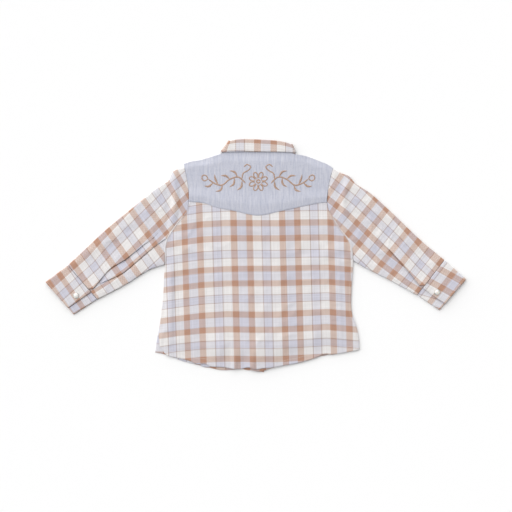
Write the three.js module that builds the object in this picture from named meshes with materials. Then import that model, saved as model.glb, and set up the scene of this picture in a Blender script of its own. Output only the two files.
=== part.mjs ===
import * as THREE from 'three';

// A child's western snap shirt, laid flat with its back up. The neck points along +Y.
// X is 0 at the centre back, the wearer's left is -X, and Z is 0 where the fronts rest.
// Every layer of cloth is a thin wall about a middle surface. All sizes are in millimetres.

// Cloth and how its layers lie; a level is the height of a layer's middle surface
const WALL = 1.2;
const CUFF_WALL = 1.5;
const CLEARANCE = 0.3;
const SEAM_GAP = 0.5;
const PLY_STEP = WALL + CLEARANCE;
const FLOOR_PLY = WALL / 2;
const BACK_LEVEL = 3.3;
const SLEEVE_TOP_LEVEL = 3.3;
const BAND_RADIUS = 1.05;
const COLLAR_RADIUS = BAND_RADIUS + PLY_STEP;
const NECK_MIDDLE_LEVEL = FLOOR_PLY + COLLAR_RADIUS;
const NECK_LEVEL = NECK_MIDDLE_LEVEL + BAND_RADIUS;

// Snaps: a domed cap, on the fronts below the cloth and on the cuffs above it
const SNAP_RADIUS = 4.75;
const SNAP_HEIGHT = 1.7;
const SNAP_PROFILE = [
  { radius: 0, height: 0 },
  { radius: SNAP_RADIUS, height: 0 },
  { radius: SNAP_RADIUS, height: 0.7 },
  { radius: 4.09, height: 0.98 },
  { radius: 3.71, height: 0.98 },
  { radius: 2.14, height: 1.63 },
  { radius: 0, height: SNAP_HEIGHT },
];
const FRONT_SNAPS = 6;
const FRONT_SNAP_PITCH = 45;
const FIRST_FRONT_SNAP_Y = 112;
const NECK_SNAP_Y = 138;
const CUFF_SNAPS = {
  left: { x: -288.8, y: -63.0 },
  right: { x: 287.4, y: -57.6 },
};

// Fronts: they lap at the centre, the wearer's left one outside
const FRONT_LAP = 11;
const SNAP_LIFT = SNAP_HEIGHT + CLEARANCE;
const LAP_FLAT = 14;
const LAP_FADE = 48;

// Back: it rises over the lapped fronts and is pressed down along its seams.
// The places across and down a panel, u and v, run from 0 to 1.
const CENTRE_RISE = 2.4;
const CENTRE_FLAT = 20;
const CENTRE_FADE = 130;
const PRESS_WIDTH = 12;
const NECK_LEVEL_FROM = 150;
const NECK_LEVEL_TO = 163;
const BACK_UNDERARM_V = 0.5;
const BACK_UNDERARM_FADE = 0.06;
const BACK_CREASES_FROM_V = 0.12;
const YOKE_DEPTH = 80;
const YOKE_TUCK = 6;
const YOKE_LAP_HOLD = 9;
const YOKE_LAP_FADE = 32;
const YOKE_NECK_U = { start: 1 / 3, end: 2 / 3 };
const YOKE_SHOULDER_U = { full: 0.3, none: 0.345 };
const FRONT_UNDERARM_V = 0.5;

// Neckband and collar: a flattened ring, rolled over at both sides of the neck
const FRONT_NECK_DROP = 37;
const FRONT_FOLD_DROP = 34;
const BACK_NECK_RISE = 6;
const BACK_FOLD_RISE = 5;
const BACK_EDGE_RISE = 1.2;
const BAND_FOLD_GAP = 0.9;
const LEAF_END = 8;
const LEAF_SPREAD = 63;
const COLLAR_POINT = { x: 31, y: 97 };
const COLLAR_SPRING = 0.8;
const NECK_SIDES = {
  left: { seamX: -57.1, seamY: 163.7, foldX: -43.3, foldY: 182.1, edgeX: -55.9, edgeY: 165.3 },
  right: { seamX: 60.6, seamY: 163.0, foldX: 54.2, foldY: 177.0, edgeX: 59.8, edgeY: 164.8 },
};
const LEAF_LIFT = PLY_STEP;
const LEAF_LIFT_Y = { none: 76, full: 94 };
const LEAF_LIFT_X = { none: 84, full: 66 };

// Seams and edges, each a curve through its rows
const ARMHOLES = {
  left: [
    { x: -117.3, y: 147.0 },
    { x: -111.8, y: 121.6 },
    { x: -109.2, y: 100.0 },
    { x: -109.9, y: 81.0 },
    { x: -114.4, y: 66.5 },
    { x: -124.6, y: 54.5 },
    { x: -135.2, y: 40.0 },
    { x: -143.2, y: 26.0 },
    { x: -146.8, y: 9.0 },
    { x: -147.8, y: -14.4 },
  ],
  right: [
    { x: 121.9, y: 140.0 },
    { x: 116.6, y: 121.5 },
    { x: 113.2, y: 101.0 },
    { x: 112.1, y: 84.0 },
    { x: 115.6, y: 69.5 },
    { x: 123.6, y: 55.5 },
    { x: 133.6, y: 40.5 },
    { x: 144.4, y: 27.5 },
    { x: 151.8, y: 12.0 },
    { x: 154.4, y: -8.0 },
  ],
};
const YOKE_CORNER_Y = { left: 86.8, right: 85.4 };
const YOKE_EDGE = [
  { x: -83.2, y: 84.0 },
  { x: -66.0, y: 77.8 },
  { x: -35.8, y: 71.7 },
  { x: 1.4, y: 64.6 },
  { x: 35.7, y: 71.0 },
  { x: 66.0, y: 77.6 },
  { x: 95.7, y: 83.8 },
];
const SHOULDERS = {
  left: [
    { x: -91.5, y: 153.1 },
    { x: -104.8, y: 151.0 },
  ],
  right: [
    { x: 78.4, y: 159.5 },
    { x: 97.1, y: 152.5 },
    { x: 114.2, y: 145.4 },
  ],
};
const SIDES = {
  left: [
    { x: -150.4, y: -70.4 },
    { x: -154.1, y: -100.8 },
    { x: -156.6, y: -128.8 },
    { x: -155.6, y: -143.5 },
  ],
  right: [
    { x: 150.4, y: -76.8 },
    { x: 152.0, y: -92.0 },
    { x: 159.6, y: -115.5 },
    { x: 162.8, y: -134.1 },
    { x: 163.8, y: -149.8 },
  ],
};
const FRONT_SIDE_LEFT = [
  { x: -150.4, y: -70.4 },
  { x: -154.4, y: -104.0 },
  { x: -159.4, y: -130.0 },
  { x: -162.9, y: -154.0 },
];
const BACK_HEM = [
  { x: -144.6, y: -158.6 },
  { x: -126.0, y: -165.0 },
  { x: -104.0, y: -172.6 },
  { x: -79.0, y: -176.4 },
  { x: -50.0, y: -181.4 },
  { x: -11.2, y: -181.2 },
  { x: 5.0, y: -183.4 },
  { x: 18.0, y: -179.4 },
  { x: 43.5, y: -175.0 },
  { x: 74.9, y: -168.6 },
  { x: 104.0, y: -159.4 },
  { x: 137.3, y: -154.8 },
];
const FRONT_HEMS = {
  left: [
    { x: -145.0, y: -158.0 },
    { x: -108.0, y: -170.4 },
    { x: -78.0, y: -178.4 },
    { x: -56.0, y: -182.6 },
    { x: -33.0, y: -180.6 },
    { x: -11.0, y: -182.4 },
    { x: 11.0, y: -185.8 },
  ],
  right: [
    { x: 138.0, y: -153.4 },
    { x: 104.0, y: -157.6 },
    { x: 75.0, y: -166.6 },
    { x: 43.0, y: -173.4 },
    { x: 20.0, y: -180.4 },
    { x: 4.0, y: -184.8 },
    { x: -11.0, y: -182.2 },
  ],
};

// Sleeves: two folds lie along each, from the cuff seam to the armhole
const SLEEVE_CUFF_RISE = 0.55;
const SLEEVE_CUFF_RISE_END = 0.12;
const SLEEVE_CREASE_MARGIN = 4;
const SLEEVE_TOP_Y = { left: 141.8, right: 139.2 };
const SLEEVE_UPPER_FOLDS = {
  left: [
    { x: -302.0, y: -14.5 },
    { x: -273.2, y: 12.6 },
    { x: -237.9, y: 45.4 },
    { x: -200.6, y: 75.8 },
    { x: -168.4, y: 102.2 },
    { x: -150.6, y: 115.0 },
    { x: -141.6, y: 120.4 },
    { x: -135.4, y: 133.6 },
    { x: -127.2, y: 139.0 },
  ],
  right: [
    { x: 299.2, y: -6.2 },
    { x: 262.4, y: 24.6 },
    { x: 239.1, y: 46.8 },
    { x: 215.9, y: 69.1 },
    { x: 180.8, y: 100.6 },
    { x: 157.0, y: 116.2 },
    { x: 147.6, y: 127.2 },
    { x: 134.4, y: 132.6 },
  ],
};
const SLEEVE_LOWER_FOLDS = {
  left: [
    { x: -254.8, y: -68.8 },
    { x: -236.2, y: -59.7 },
    { x: -203.8, y: -42.1 },
    { x: -185.0, y: -29.6 },
    { x: -168.0, y: -20.4 },
  ],
  right: [
    { x: 255.4, y: -62.3 },
    { x: 234.0, y: -50.7 },
    { x: 212.6, y: -39.1 },
    { x: 190.8, y: -28.1 },
    { x: 172.0, y: -18.6 },
  ],
};

// Cuffs: corners of the outer layer and the folded lower edge, seam end and hand end
const CUFFS = {
  left: {
    seamTop: { x: -302.2, y: -14.7 },
    seamLow: { x: -255.0, y: -69.0 },
    seamLip: { x: -263.5, y: -56.3 },
    handTop: { x: -337.9, y: -41.5 },
    handLow: { x: -292.8, y: -93.4 },
    handLip: { x: -301.7, y: -83.1 },
  },
  right: {
    seamTop: { x: 299.4, y: -6.4 },
    seamLow: { x: 255.6, y: -62.5 },
    seamLip: { x: 264.3, y: -51.0 },
    handTop: { x: 334.3, y: -36.7 },
    handLow: { x: 291.4, y: -86.4 },
    handLip: { x: 298.8, y: -76.9 },
  },
};
const CUFF_LAP = 22;
const CUFF_PLY_STEP = CUFF_WALL + CLEARANCE;
const CUFF_LOWER_LEVEL = CUFF_WALL / 2;
const CUFF_UNDER_LEVEL = CUFF_LOWER_LEVEL + CUFF_PLY_STEP;
const CUFF_UPPER_LEVEL = CUFF_UNDER_LEVEL + CUFF_PLY_STEP;

// Creases of the upper layers, each along a bent line of three points.
// A lap drops sharply on its right-hand side and fades over its width on the other;
// a ridge or a trough fades on both sides. The rise is a height above the plain cloth.
const SLEEVE_CREASES = {
  left: [
    { kind: 'lap', x0: -262, y0: -55, x1: -236, y1: -17, x2: -168, y2: 38, rise: 2.1, width: 26 },
    { kind: 'lap', x0: -226, y0: -36, x1: -186, y1: -4, x2: -141, y2: 36, rise: 1.0, width: 12 },
    { kind: 'ridge', x0: -134, y0: 131, x1: -124, y1: 96, x2: -136, y2: 46, rise: 2.0, width: 9 },
    { kind: 'trough', x0: -146, y0: 112, x1: -136, y1: 88, x2: -146, y2: 50, rise: -0.5, width: 8 },
    { kind: 'ridge', x0: -285, y0: -8, x1: -240, y1: 26, x2: -196, y2: 60, rise: 0.9, width: 14 },
  ],
  right: [
    { kind: 'lap', x0: 204, y0: 18, x1: 232, y1: -12, x2: 264, y2: -50, rise: 2.2, width: 26 },
    { kind: 'ridge', x0: 146, y0: 122, x1: 132, y1: 92, x2: 140, y2: 62, rise: 1.6, width: 9 },
    { kind: 'ridge', x0: 160, y0: 100, x1: 200, y1: 62, x2: 250, y2: 16, rise: 0.9, width: 15 },
    { kind: 'trough', x0: 160, y0: 22, x1: 190, y1: 4, x2: 226, y2: -26, rise: -0.5, width: 9 },
  ],
};
const BACK_CREASES = [
  { kind: 'lap', x0: -134, y0: -150, x1: -136, y1: -60, x2: -130, y2: 14, rise: 1.0, width: 16 },
  { kind: 'ridge', x0: -140, y0: 24, x1: -112, y1: 8, x2: -70, y2: 0, rise: 0.9, width: 13 },
  { kind: 'ridge', x0: 146, y0: 20, x1: 118, y1: 2, x2: 74, y2: -10, rise: 0.8, width: 13 },
  { kind: 'trough', x0: 140, y0: -20, x1: 138, y1: -80, x2: 146, y2: -140, rise: -0.7, width: 9 },
  { kind: 'ridge', x0: -60, y0: -176, x1: -54, y1: -150, x2: -58, y2: -112, rise: 1.1, width: 15 },
  { kind: 'ridge', x0: 2, y0: -180, x1: 6, y1: -158, x2: 0, y2: -126, rise: 0.9, width: 13 },
  { kind: 'ridge', x0: 96, y0: -160, x1: 90, y1: -130, x2: 98, y2: -96, rise: 1.0, width: 15 },
];
const CREASE_TAPER = 0.22;
const LAP_DROP = 2.5;
const CREASE_SAMPLES = 14;
const BISECTION_STEPS = 40;
const RUN_STEP = 0.002;

// How finely each piece is divided
const FRONT_NECK_STEPS = 6;
const NECK_STEPS_TO_LAP = FRONT_NECK_STEPS + 2;
const FRONT_LENGTH_STEPS = 28;
const FRONT_WIDTH_STEPS = 11;
const BACK_WIDTH_STEPS = 22;
const BACK_LENGTH_STEPS = 24;
const YOKE_WIDTH_STEPS = 24;
const YOKE_DEPTH_STEPS = 8;
const YOKE_NEAR_EDGE = { start: 0.04, end: 0.05 };
const BACK_NEAR_EDGE = 0.4 * PRESS_WIDTH;
const NECK_ROLL_STEPS = 4;
const BACK_NECK_STEPS = 8;
const BAND_STEPS = 4;
const COLLAR_FOLD_STEPS = 3;
const COLLAR_FALL_STEPS = 4;
const SLEEVE_LENGTH_STEPS = 17;
const SLEEVE_UPPER_STEPS = 14;
const SLEEVE_LOWER_STEPS = FRONT_LENGTH_STEPS / 2;
const SLEEVE_ROLL_STEPS = 4;
const CUFF_ROLL_STEPS = 4;
const CUFF_LENGTH_STEPS = 5;
const CUFF_LAYER_STEPS = { upper: 7, lower: 5, under: 3 };
const SNAP_SIDES = 14;

// Finishes
const PLAID = { color: 0xd9c4b8, roughness: 0.9 };
const GAUZE = { color: 0xb4bdd0, roughness: 0.9 };
const PEARL = { color: 0xf2efe8, roughness: 0.3 };

const clamp01 = (value) => Math.min(1, Math.max(0, value));
const mix = (a, b, share) => a + (b - a) * share;

/** Goes smoothly from 0 at `none` to 1 at `full`, in either direction. */
function fade(value, none, full) {
  const share = clamp01((value - none) / (full - none));
  return share * share * (3 - 2 * share);
}

const at = (x, y, z = 0) => new THREE.Vector3(x, y, z);
const pointOf = (row) => at(row.x, row.y);

/** A smooth plan curve through rows of x and y; it returns points by share of length. */
function through(rows) {
  const curve = new THREE.CatmullRomCurve3(rows.map(pointOf), false, 'centripetal');
  curve.arcLengthDivisions = 400;
  return (share) => curve.getPointAt(clamp01(share));
}

/** A stretch of a curve between two shares of its length. */
const stretch = (curve, from, to) => (share) => curve(mix(from, to, share));

/** A curve moved sideways in plan, to its left where the distance is positive. */
function moved(curve, distance) {
  return (share) => {
    const run = curve(share + RUN_STEP).sub(curve(share - RUN_STEP)).normalize();
    return curve(share).add(at(-run.y * distance, run.x * distance));
  };
}

/** Several curves end to end; each runs until its own share of the whole. */
function chain(...links) {
  return (share) => {
    const place = clamp01(share);
    const index = links.findIndex((link) => place <= link.until);
    const from = index > 0 ? links[index - 1].until : 0;
    return links[index].curve((place - from) / (links[index].until - from));
  };
}

/** The share from 0 to 1 up to which a test holds. */
function shareWhile(holds) {
  let low = 0;
  let high = 1;
  for (let step = 0; step < BISECTION_STEPS; step += 1) {
    const middle = (low + high) / 2;
    if (holds(middle)) {
      low = middle;
    } else {
      high = middle;
    }
  }
  return (low + high) / 2;
}

/** The share of a falling curve's length at which it reaches the height y. */
const shareAtY = (curve, y) => shareWhile((share) => curve(share).y > y);

/** A plan patch between four edges: `top` and `low` run with u, `start` and `end` with v. */
function patch({ top, low, start, end }) {
  const corner = { a: top(0), b: top(1), c: low(0), d: low(1) };
  return (u, v) => {
    const across = top(u).multiplyScalar(1 - v).addScaledVector(low(u), v);
    const along = start(v).multiplyScalar(1 - u).addScaledVector(end(v), u);
    const bilinear = at(0, 0)
      .addScaledVector(corner.a, (1 - u) * (1 - v))
      .addScaledVector(corner.b, u * (1 - v))
      .addScaledVector(corner.c, (1 - u) * v)
      .addScaledVector(corner.d, u * v);
    return across.add(along).sub(bilinear);
  };
}

/** Even stations from 0 to 1, with one more close to each end that is pressed down. */
function stations(count, { nearStart = 0, nearEnd = 0 } = {}) {
  const list = [];
  for (let index = 0; index <= count; index += 1) {
    list.push(index / count);
  }
  if (nearStart > 0) {
    list.splice(1, 0, nearStart);
  }
  if (nearEnd > 0) {
    list.splice(list.length - 1, 0, 1 - nearEnd);
  }
  return list;
}

/** A closed wall about a grid of middle points; `ring` joins the last column to the first. */
function clothWall(rows, wall, ring = false) {
  const rowCount = rows.length;
  const columnCount = rows[0].length;
  const wrap = (column) => (column + columnCount) % columnCount;
  const normalAt = (row, column) => {
    const before = rows[Math.max(0, row - 1)][column];
    const after = rows[Math.min(rowCount - 1, row + 1)][column];
    const left = rows[row][ring ? wrap(column - 1) : Math.max(0, column - 1)];
    const right = rows[row][ring ? wrap(column + 1) : Math.min(columnCount - 1, column + 1)];
    return at(0, 0).crossVectors(right.clone().sub(left), after.clone().sub(before)).normalize();
  };
  const positions = [];
  const place = (side) => {
    rows.forEach((points, row) => points.forEach((point, column) => {
      const spot = point.clone().addScaledVector(normalAt(row, column), (side * wall) / 2);
      positions.push(spot.x, spot.y, spot.z);
    }));
  };
  place(1);
  place(-1);
  const back = rowCount * columnCount;
  const index = [];
  const quad = (a, b, c, d) => index.push(a, b, c, a, c, d);
  const spans = ring ? columnCount : columnCount - 1;
  for (let row = 0; row + 1 < rowCount; row += 1) {
    for (let column = 0; column < spans; column += 1) {
      const a = row * columnCount + column;
      const b = row * columnCount + wrap(column + 1);
      const c = b + columnCount;
      const d = a + columnCount;
      quad(a, b, c, d);
      quad(back + d, back + c, back + b, back + a);
    }
  }
  const last = (rowCount - 1) * columnCount;
  for (let column = 0; column < spans; column += 1) {
    const next = wrap(column + 1);
    quad(back + column, back + next, next, column);
    quad(last + column, last + next, back + last + next, back + last + column);
  }
  if (!ring) {
    for (let row = 0; row + 1 < rowCount; row += 1) {
      const a = row * columnCount;
      const b = a + columnCount;
      const end = columnCount - 1;
      quad(a, b, back + b, back + a);
      quad(back + a + end, back + b + end, b + end, a + end);
    }
  }
  const geometry = new THREE.BufferGeometry();
  geometry.setAttribute('position', new THREE.Float32BufferAttribute(positions, 3));
  geometry.setIndex(index);
  return turnedOut(geometry);
}

/** The geometry with its faces pointing out, turned round where its volume is negative. */
function turnedOut(geometry) {
  const position = geometry.getAttribute('position');
  const order = geometry.getIndex();
  const [a, b, c] = [at(0, 0), at(0, 0), at(0, 0)];
  let volume = 0;
  for (let face = 0; face < order.count; face += 3) {
    a.fromBufferAttribute(position, order.getX(face));
    b.fromBufferAttribute(position, order.getX(face + 1));
    c.fromBufferAttribute(position, order.getX(face + 2));
    volume += a.dot(b.cross(c));
  }
  if (volume < 0) {
    for (let face = 0; face < order.count; face += 3) {
      const kept = order.getX(face + 1);
      order.setX(face + 1, order.getX(face + 2));
      order.setX(face + 2, kept);
    }
  }
  geometry.computeVertexNormals();
  return geometry;
}

/** A named piece of the shirt with a material of its own. */
function piece(name, geometry, finish) {
  const mesh = new THREE.Mesh(geometry, new THREE.MeshStandardMaterial(finish));
  mesh.name = name;
  return mesh;
}

/** A wall over a plan patch, its middle height given by level(point, u, v). */
function panel(plan, uStations, vStations, level) {
  const rows = vStations.map((v) => uStations.map((u) => {
    const point = plan(u, v);
    point.z = level(point, u, v);
    return point;
  }));
  return clothWall(rows, WALL);
}

/** The place on a crease nearest to a point: its distance, its side and its share. */
function nearestOnCrease(crease, point) {
  const line = new THREE.QuadraticBezierCurve3(
    at(crease.x0, crease.y0),
    at(crease.x1, crease.y1),
    at(crease.x2, crease.y2),
  );
  const spots = line.getPoints(CREASE_SAMPLES);
  const here = at(point.x, point.y);
  let nearest = { distance: Infinity };
  for (let sample = 0; sample < CREASE_SAMPLES; sample += 1) {
    const run = spots[sample + 1].clone().sub(spots[sample]);
    const away = here.clone().sub(spots[sample]);
    const share = clamp01(away.dot(run) / run.lengthSq());
    const side = Math.sign(run.x * away.y - run.y * away.x) || 1;
    const distance = away.addScaledVector(run, -share).length();
    if (distance < nearest.distance) {
      nearest = { distance, side, share: (sample + share) / CREASE_SAMPLES };
    }
  }
  return nearest;
}

/** The height that a list of creases adds at a point. */
function creaseHeight(creases, point) {
  let height = 0;
  for (const crease of creases) {
    const { distance, side, share } = nearestOnCrease(crease, point);
    const ends = fade(share, -CREASE_TAPER / 2, CREASE_TAPER)
      * fade(share, 1 + CREASE_TAPER / 2, 1 - CREASE_TAPER);
    const signed = distance * side;
    const lapped = fade(signed, -LAP_DROP, LAP_DROP) * fade(signed, crease.width, LAP_DROP);
    const soft = fade(distance, crease.width, 0);
    height += crease.rise * ends * (crease.kind === 'lap' ? lapped : soft);
  }
  return height;
}

// Heights of the layers of the body
const nearCentre = (x, flat, none) => fade(Math.abs(x), none, flat);

/** How far the collar's leaves, under the fronts, lift them off the surface. */
function leafLift({ x, y }) {
  return LEAF_LIFT
    * fade(y, LEAF_LIFT_Y.none, LEAF_LIFT_Y.full)
    * fade(Math.abs(x), LEAF_LIFT_X.none, LEAF_LIFT_X.full);
}

/** The middle height of a front; the one beneath the lap, here on top, lies a layer higher. */
function frontLevel(point, lift) {
  return FLOOR_PLY + Math.max(lift * nearCentre(point.x, LAP_FLAT, LAP_FADE), leafLift(point));
}

const FRONT_LIFTS = { left: SNAP_LIFT, right: SNAP_LIFT + PLY_STEP };
const sideOf = (x) => (x < 0 ? 'left' : 'right');

/** The middle height of the back's cloth before its creases. */
function backLevel({ x, y }) {
  const body = BACK_LEVEL + CENTRE_RISE * nearCentre(x, CENTRE_FLAT, CENTRE_FADE);
  return mix(body, NECK_LEVEL, fade(y, NECK_LEVEL_FROM, NECK_LEVEL_TO));
}

/** The height just above a front, where a seam presses the back down on it. */
const pressedLevel = (point) => frontLevel(point, FRONT_LIFTS[sideOf(point.x)]) + PLY_STEP;

// Plan curves that several pieces share
const armhole = { left: through(ARMHOLES.left), right: through(ARMHOLES.right) };
const bodyArmhole = {
  left: moved(armhole.left, SEAM_GAP),
  right: moved(armhole.right, -SEAM_GAP),
};
const underarm = { left: bodyArmhole.left(1), right: bodyArmhole.right(1) };
const shoulderTip = { left: bodyArmhole.left(0), right: bodyArmhole.right(0) };

const neckPoint = (side, kind) => at(NECK_SIDES[side][`${kind}X`], NECK_SIDES[side][`${kind}Y`]);

/** A line of the back neck, such as its seam or its fold, bowed upwards by rise. */
function backLine(kind, rise, share) {
  const point = neckPoint('left', kind).lerp(neckPoint('right', kind), share);
  point.y += rise * (1 - (2 * share - 1) ** 4);
  return point;
}

/** A line of the front neck: half an oval that hangs between the two sides of the neck. */
function frontLine(kind, drop, share) {
  const swing = Math.PI * share;
  const [left, right] = [neckPoint('left', kind), neckPoint('right', kind)];
  const point = left.clone().lerp(right, (1 - Math.cos(swing)) / 2);
  point.x -= ((left.x + right.x) / 2) * Math.sin(swing);
  point.y -= drop * Math.sin(swing);
  return point;
}

const backNeck = (share) => backLine('seam', BACK_NECK_RISE, share);
const frontNeck = (share) => frontLine('seam', FRONT_NECK_DROP, share);

/** The share of the front neck that lies between a side of the neck and x. */
function frontReach(side, x) {
  const share = shareWhile((reach) => frontNeck(reach).x < x);
  return side === 'left' ? share : 1 - share;
}

/** The back yoke: from the shoulders and neck to the pointed edge that laps the back. */
function buildYoke() {
  const cornerShare = {
    left: shareAtY(armhole.left, YOKE_CORNER_Y.left),
    right: shareAtY(armhole.right, YOKE_CORNER_Y.right),
  };
  const below = at(0, -SEAM_GAP);
  const shoulderLeft = through([
    shoulderTip.left, ...SHOULDERS.left.toReversed(), neckPoint('left', 'seam').add(below),
  ]);
  const shoulderRight = through([
    neckPoint('right', 'seam').add(below), ...SHOULDERS.right, shoulderTip.right,
  ]);
  const plan = patch({
    top: chain(
      { until: YOKE_NECK_U.start, curve: shoulderLeft },
      { until: YOKE_NECK_U.end, curve: (share) => backNeck(share).add(below) },
      { until: 1, curve: shoulderRight },
    ),
    low: through([
      bodyArmhole.left(cornerShare.left), ...YOKE_EDGE, bodyArmhole.right(cornerShare.right),
    ]),
    start: stretch(bodyArmhole.left, 0, cornerShare.left),
    end: stretch(bodyArmhole.right, 0, cornerShare.right),
  });
  const level = (point, u, v) => {
    const lapped = PLY_STEP * fade((1 - v) * YOKE_DEPTH, YOKE_LAP_FADE, YOKE_LAP_HOLD);
    const { none, full } = YOKE_SHOULDER_U;
    const onShoulder = Math.max(fade(u, none, full), fade(u, 1 - none, 1 - full));
    const pressed = onShoulder * fade(v * YOKE_DEPTH, PRESS_WIDTH, 0);
    return mix(backLevel(point) + lapped, pressedLevel(point), pressed);
  };
  const { start, end } = YOKE_NEAR_EDGE;
  const down = stations(YOKE_DEPTH_STEPS, { nearStart: start, nearEnd: end });
  return panel(plan, stations(YOKE_WIDTH_STEPS), down, level);
}

/** The back below the yoke: its armholes, side seams and curved hem. */
function buildBack() {
  const startShare = {
    left: shareAtY(armhole.left, YOKE_CORNER_Y.left + YOKE_TUCK),
    right: shareAtY(armhole.right, YOKE_CORNER_Y.right + YOKE_TUCK),
  };
  const edge = (side) => chain(
    { until: BACK_UNDERARM_V, curve: stretch(bodyArmhole[side], startShare[side], 1) },
    { until: 1, curve: through([underarm[side], ...SIDES[side]]) },
  );
  const tucked = YOKE_EDGE.map(({ x, y }) => ({ x, y: y + YOKE_TUCK }));
  const plan = patch({
    top: through([
      bodyArmhole.left(startShare.left), ...tucked, bodyArmhole.right(startShare.right),
    ]),
    low: through([SIDES.left.at(-1), ...BACK_HEM, SIDES.right.at(-1)]),
    start: edge('left'),
    end: edge('right'),
  });
  const width = underarm.right.x - underarm.left.x;
  const level = (point, u, v) => {
    const inward = Math.min(u, 1 - u) * width;
    const belowArm = fade(v, BACK_UNDERARM_V - BACK_UNDERARM_FADE, BACK_UNDERARM_V);
    const pressed = belowArm * fade(inward, PRESS_WIDTH, 0);
    const clearOfYoke = fade(v, 0, BACK_CREASES_FROM_V);
    const creases = creaseHeight(BACK_CREASES, point) * fade(inward, 0, PRESS_WIDTH);
    return mix(backLevel(point) + creases * clearOfYoke, pressedLevel(point), pressed);
  };
  const near = BACK_NEAR_EDGE / width;
  const across = stations(BACK_WIDTH_STEPS, { nearStart: near, nearEnd: near });
  return panel(plan, across, stations(BACK_LENGTH_STEPS), level);
}

/** One front: shoulder, armhole and side outside, neck curve and lapped edge inside. */
function buildFront(side) {
  const lapX = side === 'left' ? FRONT_LAP : -FRONT_LAP;
  const below = at(0, -SEAM_GAP);
  const neckStretch = (from, to) => (share) => {
    const reach = mix(from, to, share);
    return frontNeck(side === 'left' ? reach : 1 - reach).add(below);
  };
  const leafReach = frontReach(side, side === 'left' ? -LEAF_END : LEAF_END);
  const neck = chain(
    { until: FRONT_NECK_STEPS / NECK_STEPS_TO_LAP, curve: neckStretch(0, leafReach) },
    { until: 1, curve: neckStretch(leafReach, frontReach(side, lapX)) },
  );
  const lapEdge = (share) => at(lapX, mix(neck(1).y, FRONT_HEMS[side].at(-1).y, share));
  const sideRows = side === 'left' ? FRONT_SIDE_LEFT : SIDES.right;
  const plan = patch({
    top: through([shoulderTip[side], ...SHOULDERS[side].toReversed(), neck(0)]),
    low: through([sideRows.at(-1), ...FRONT_HEMS[side]]),
    start: chain(
      { until: FRONT_UNDERARM_V, curve: bodyArmhole[side] },
      { until: 1, curve: through([underarm[side], ...sideRows]) },
    ),
    end: chain(
      { until: NECK_STEPS_TO_LAP / FRONT_LENGTH_STEPS, curve: neck },
      { until: 1, curve: lapEdge },
    ),
  });
  const level = (point) => frontLevel(point, FRONT_LIFTS[side]);
  return panel(plan, stations(FRONT_WIDTH_STEPS), stations(FRONT_LENGTH_STEPS), level);
}

/**
 * The stations round the neck, from the wearer's left front end to the right one.
 * In front, reach is 0 at the side of the neck and 1 at the end of the collar's leaf.
 */
function neckStations(withBandEnds) {
  const upTo = (count) => Array.from({ length: count }, (_, index) => (index + 1) / count);
  const front = (side) => {
    const reaches = upTo(FRONT_NECK_STEPS);
    if (withBandEnds) {
      const sign = side === 'left' ? -1 : 1;
      const last = frontReach(side, -sign * FRONT_LAP) / frontReach(side, sign * LEAF_END);
      reaches.push((1 + last) / 2, last);
    }
    return reaches.map((reach) => ({ where: 'front', side, reach }));
  };
  const shares = upTo(BACK_NECK_STEPS).slice(0, -1);
  const turns = [0, ...upTo(NECK_ROLL_STEPS)].map((share) => Math.PI * (share - 0.5));
  const roll = (side) => turns.map((turn) => ({ where: 'roll', side, turn }));
  return [
    ...front('left').toReversed(),
    ...roll('left'),
    ...shares.map((share) => ({ where: 'back', share })),
    ...roll('right').toReversed(),
    ...front('right'),
  ];
}

/** Where a station's seam, fold and free edge lie in plan, and which way its layers stack. */
function neckFrame(station) {
  const { where, side } = station;
  if (where === 'back') {
    return {
      seam: backNeck(station.share),
      fold: backLine('fold', BACK_FOLD_RISE, station.share),
      edge: backLine('edge', BACK_EDGE_RISE, station.share),
      stack: at(0, 0, 1),
    };
  }
  const edge = neckPoint(side, 'edge');
  const sign = side === 'left' ? -1 : 1;
  if (where === 'front') {
    const reach = station.reach * frontReach(side, sign * LEAF_END);
    const share = side === 'left' ? reach : 1 - reach;
    const leaf = new THREE.QuadraticBezierCurve3(
      edge,
      at(sign * LEAF_SPREAD, mix(edge.y, COLLAR_POINT.y, 0.5)),
      at(sign * COLLAR_POINT.x, COLLAR_POINT.y),
    );
    return {
      seam: frontNeck(share),
      fold: frontLine('fold', FRONT_FOLD_DROP, share),
      edge: leaf.getPoint(clamp01(station.reach)),
      stack: at(0, 0, -1),
    };
  }
  const fold = neckPoint(side, 'fold');
  const run = fold.clone().sub(edge).normalize();
  const outward = at(sign * run.y, -sign * run.x).multiplyScalar(Math.cos(station.turn));
  const stack = outward.add(at(0, 0, Math.sin(station.turn)));
  return { seam: neckPoint(side, 'seam'), fold, edge, stack };
}

/** The neckband, from the neck seam up to just under the collar's fold. */
function buildNeckband() {
  const rows = neckStations(true).map((station) => {
    const { seam, fold, stack } = neckFrame(station);
    const reach = 1 - BAND_FOLD_GAP / seam.distanceTo(fold);
    return stations(BAND_STEPS).map((share) => {
      const point = seam.clone().lerp(fold, share * reach);
      if (station.where === 'front') {
        point.z = frontLevel(point, FRONT_LIFTS[station.side]);
        return point;
      }
      point.z = NECK_MIDDLE_LEVEL;
      return point.addScaledVector(stack, BAND_RADIUS);
    });
  });
  return clothWall(rows, WALL);
}

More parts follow.
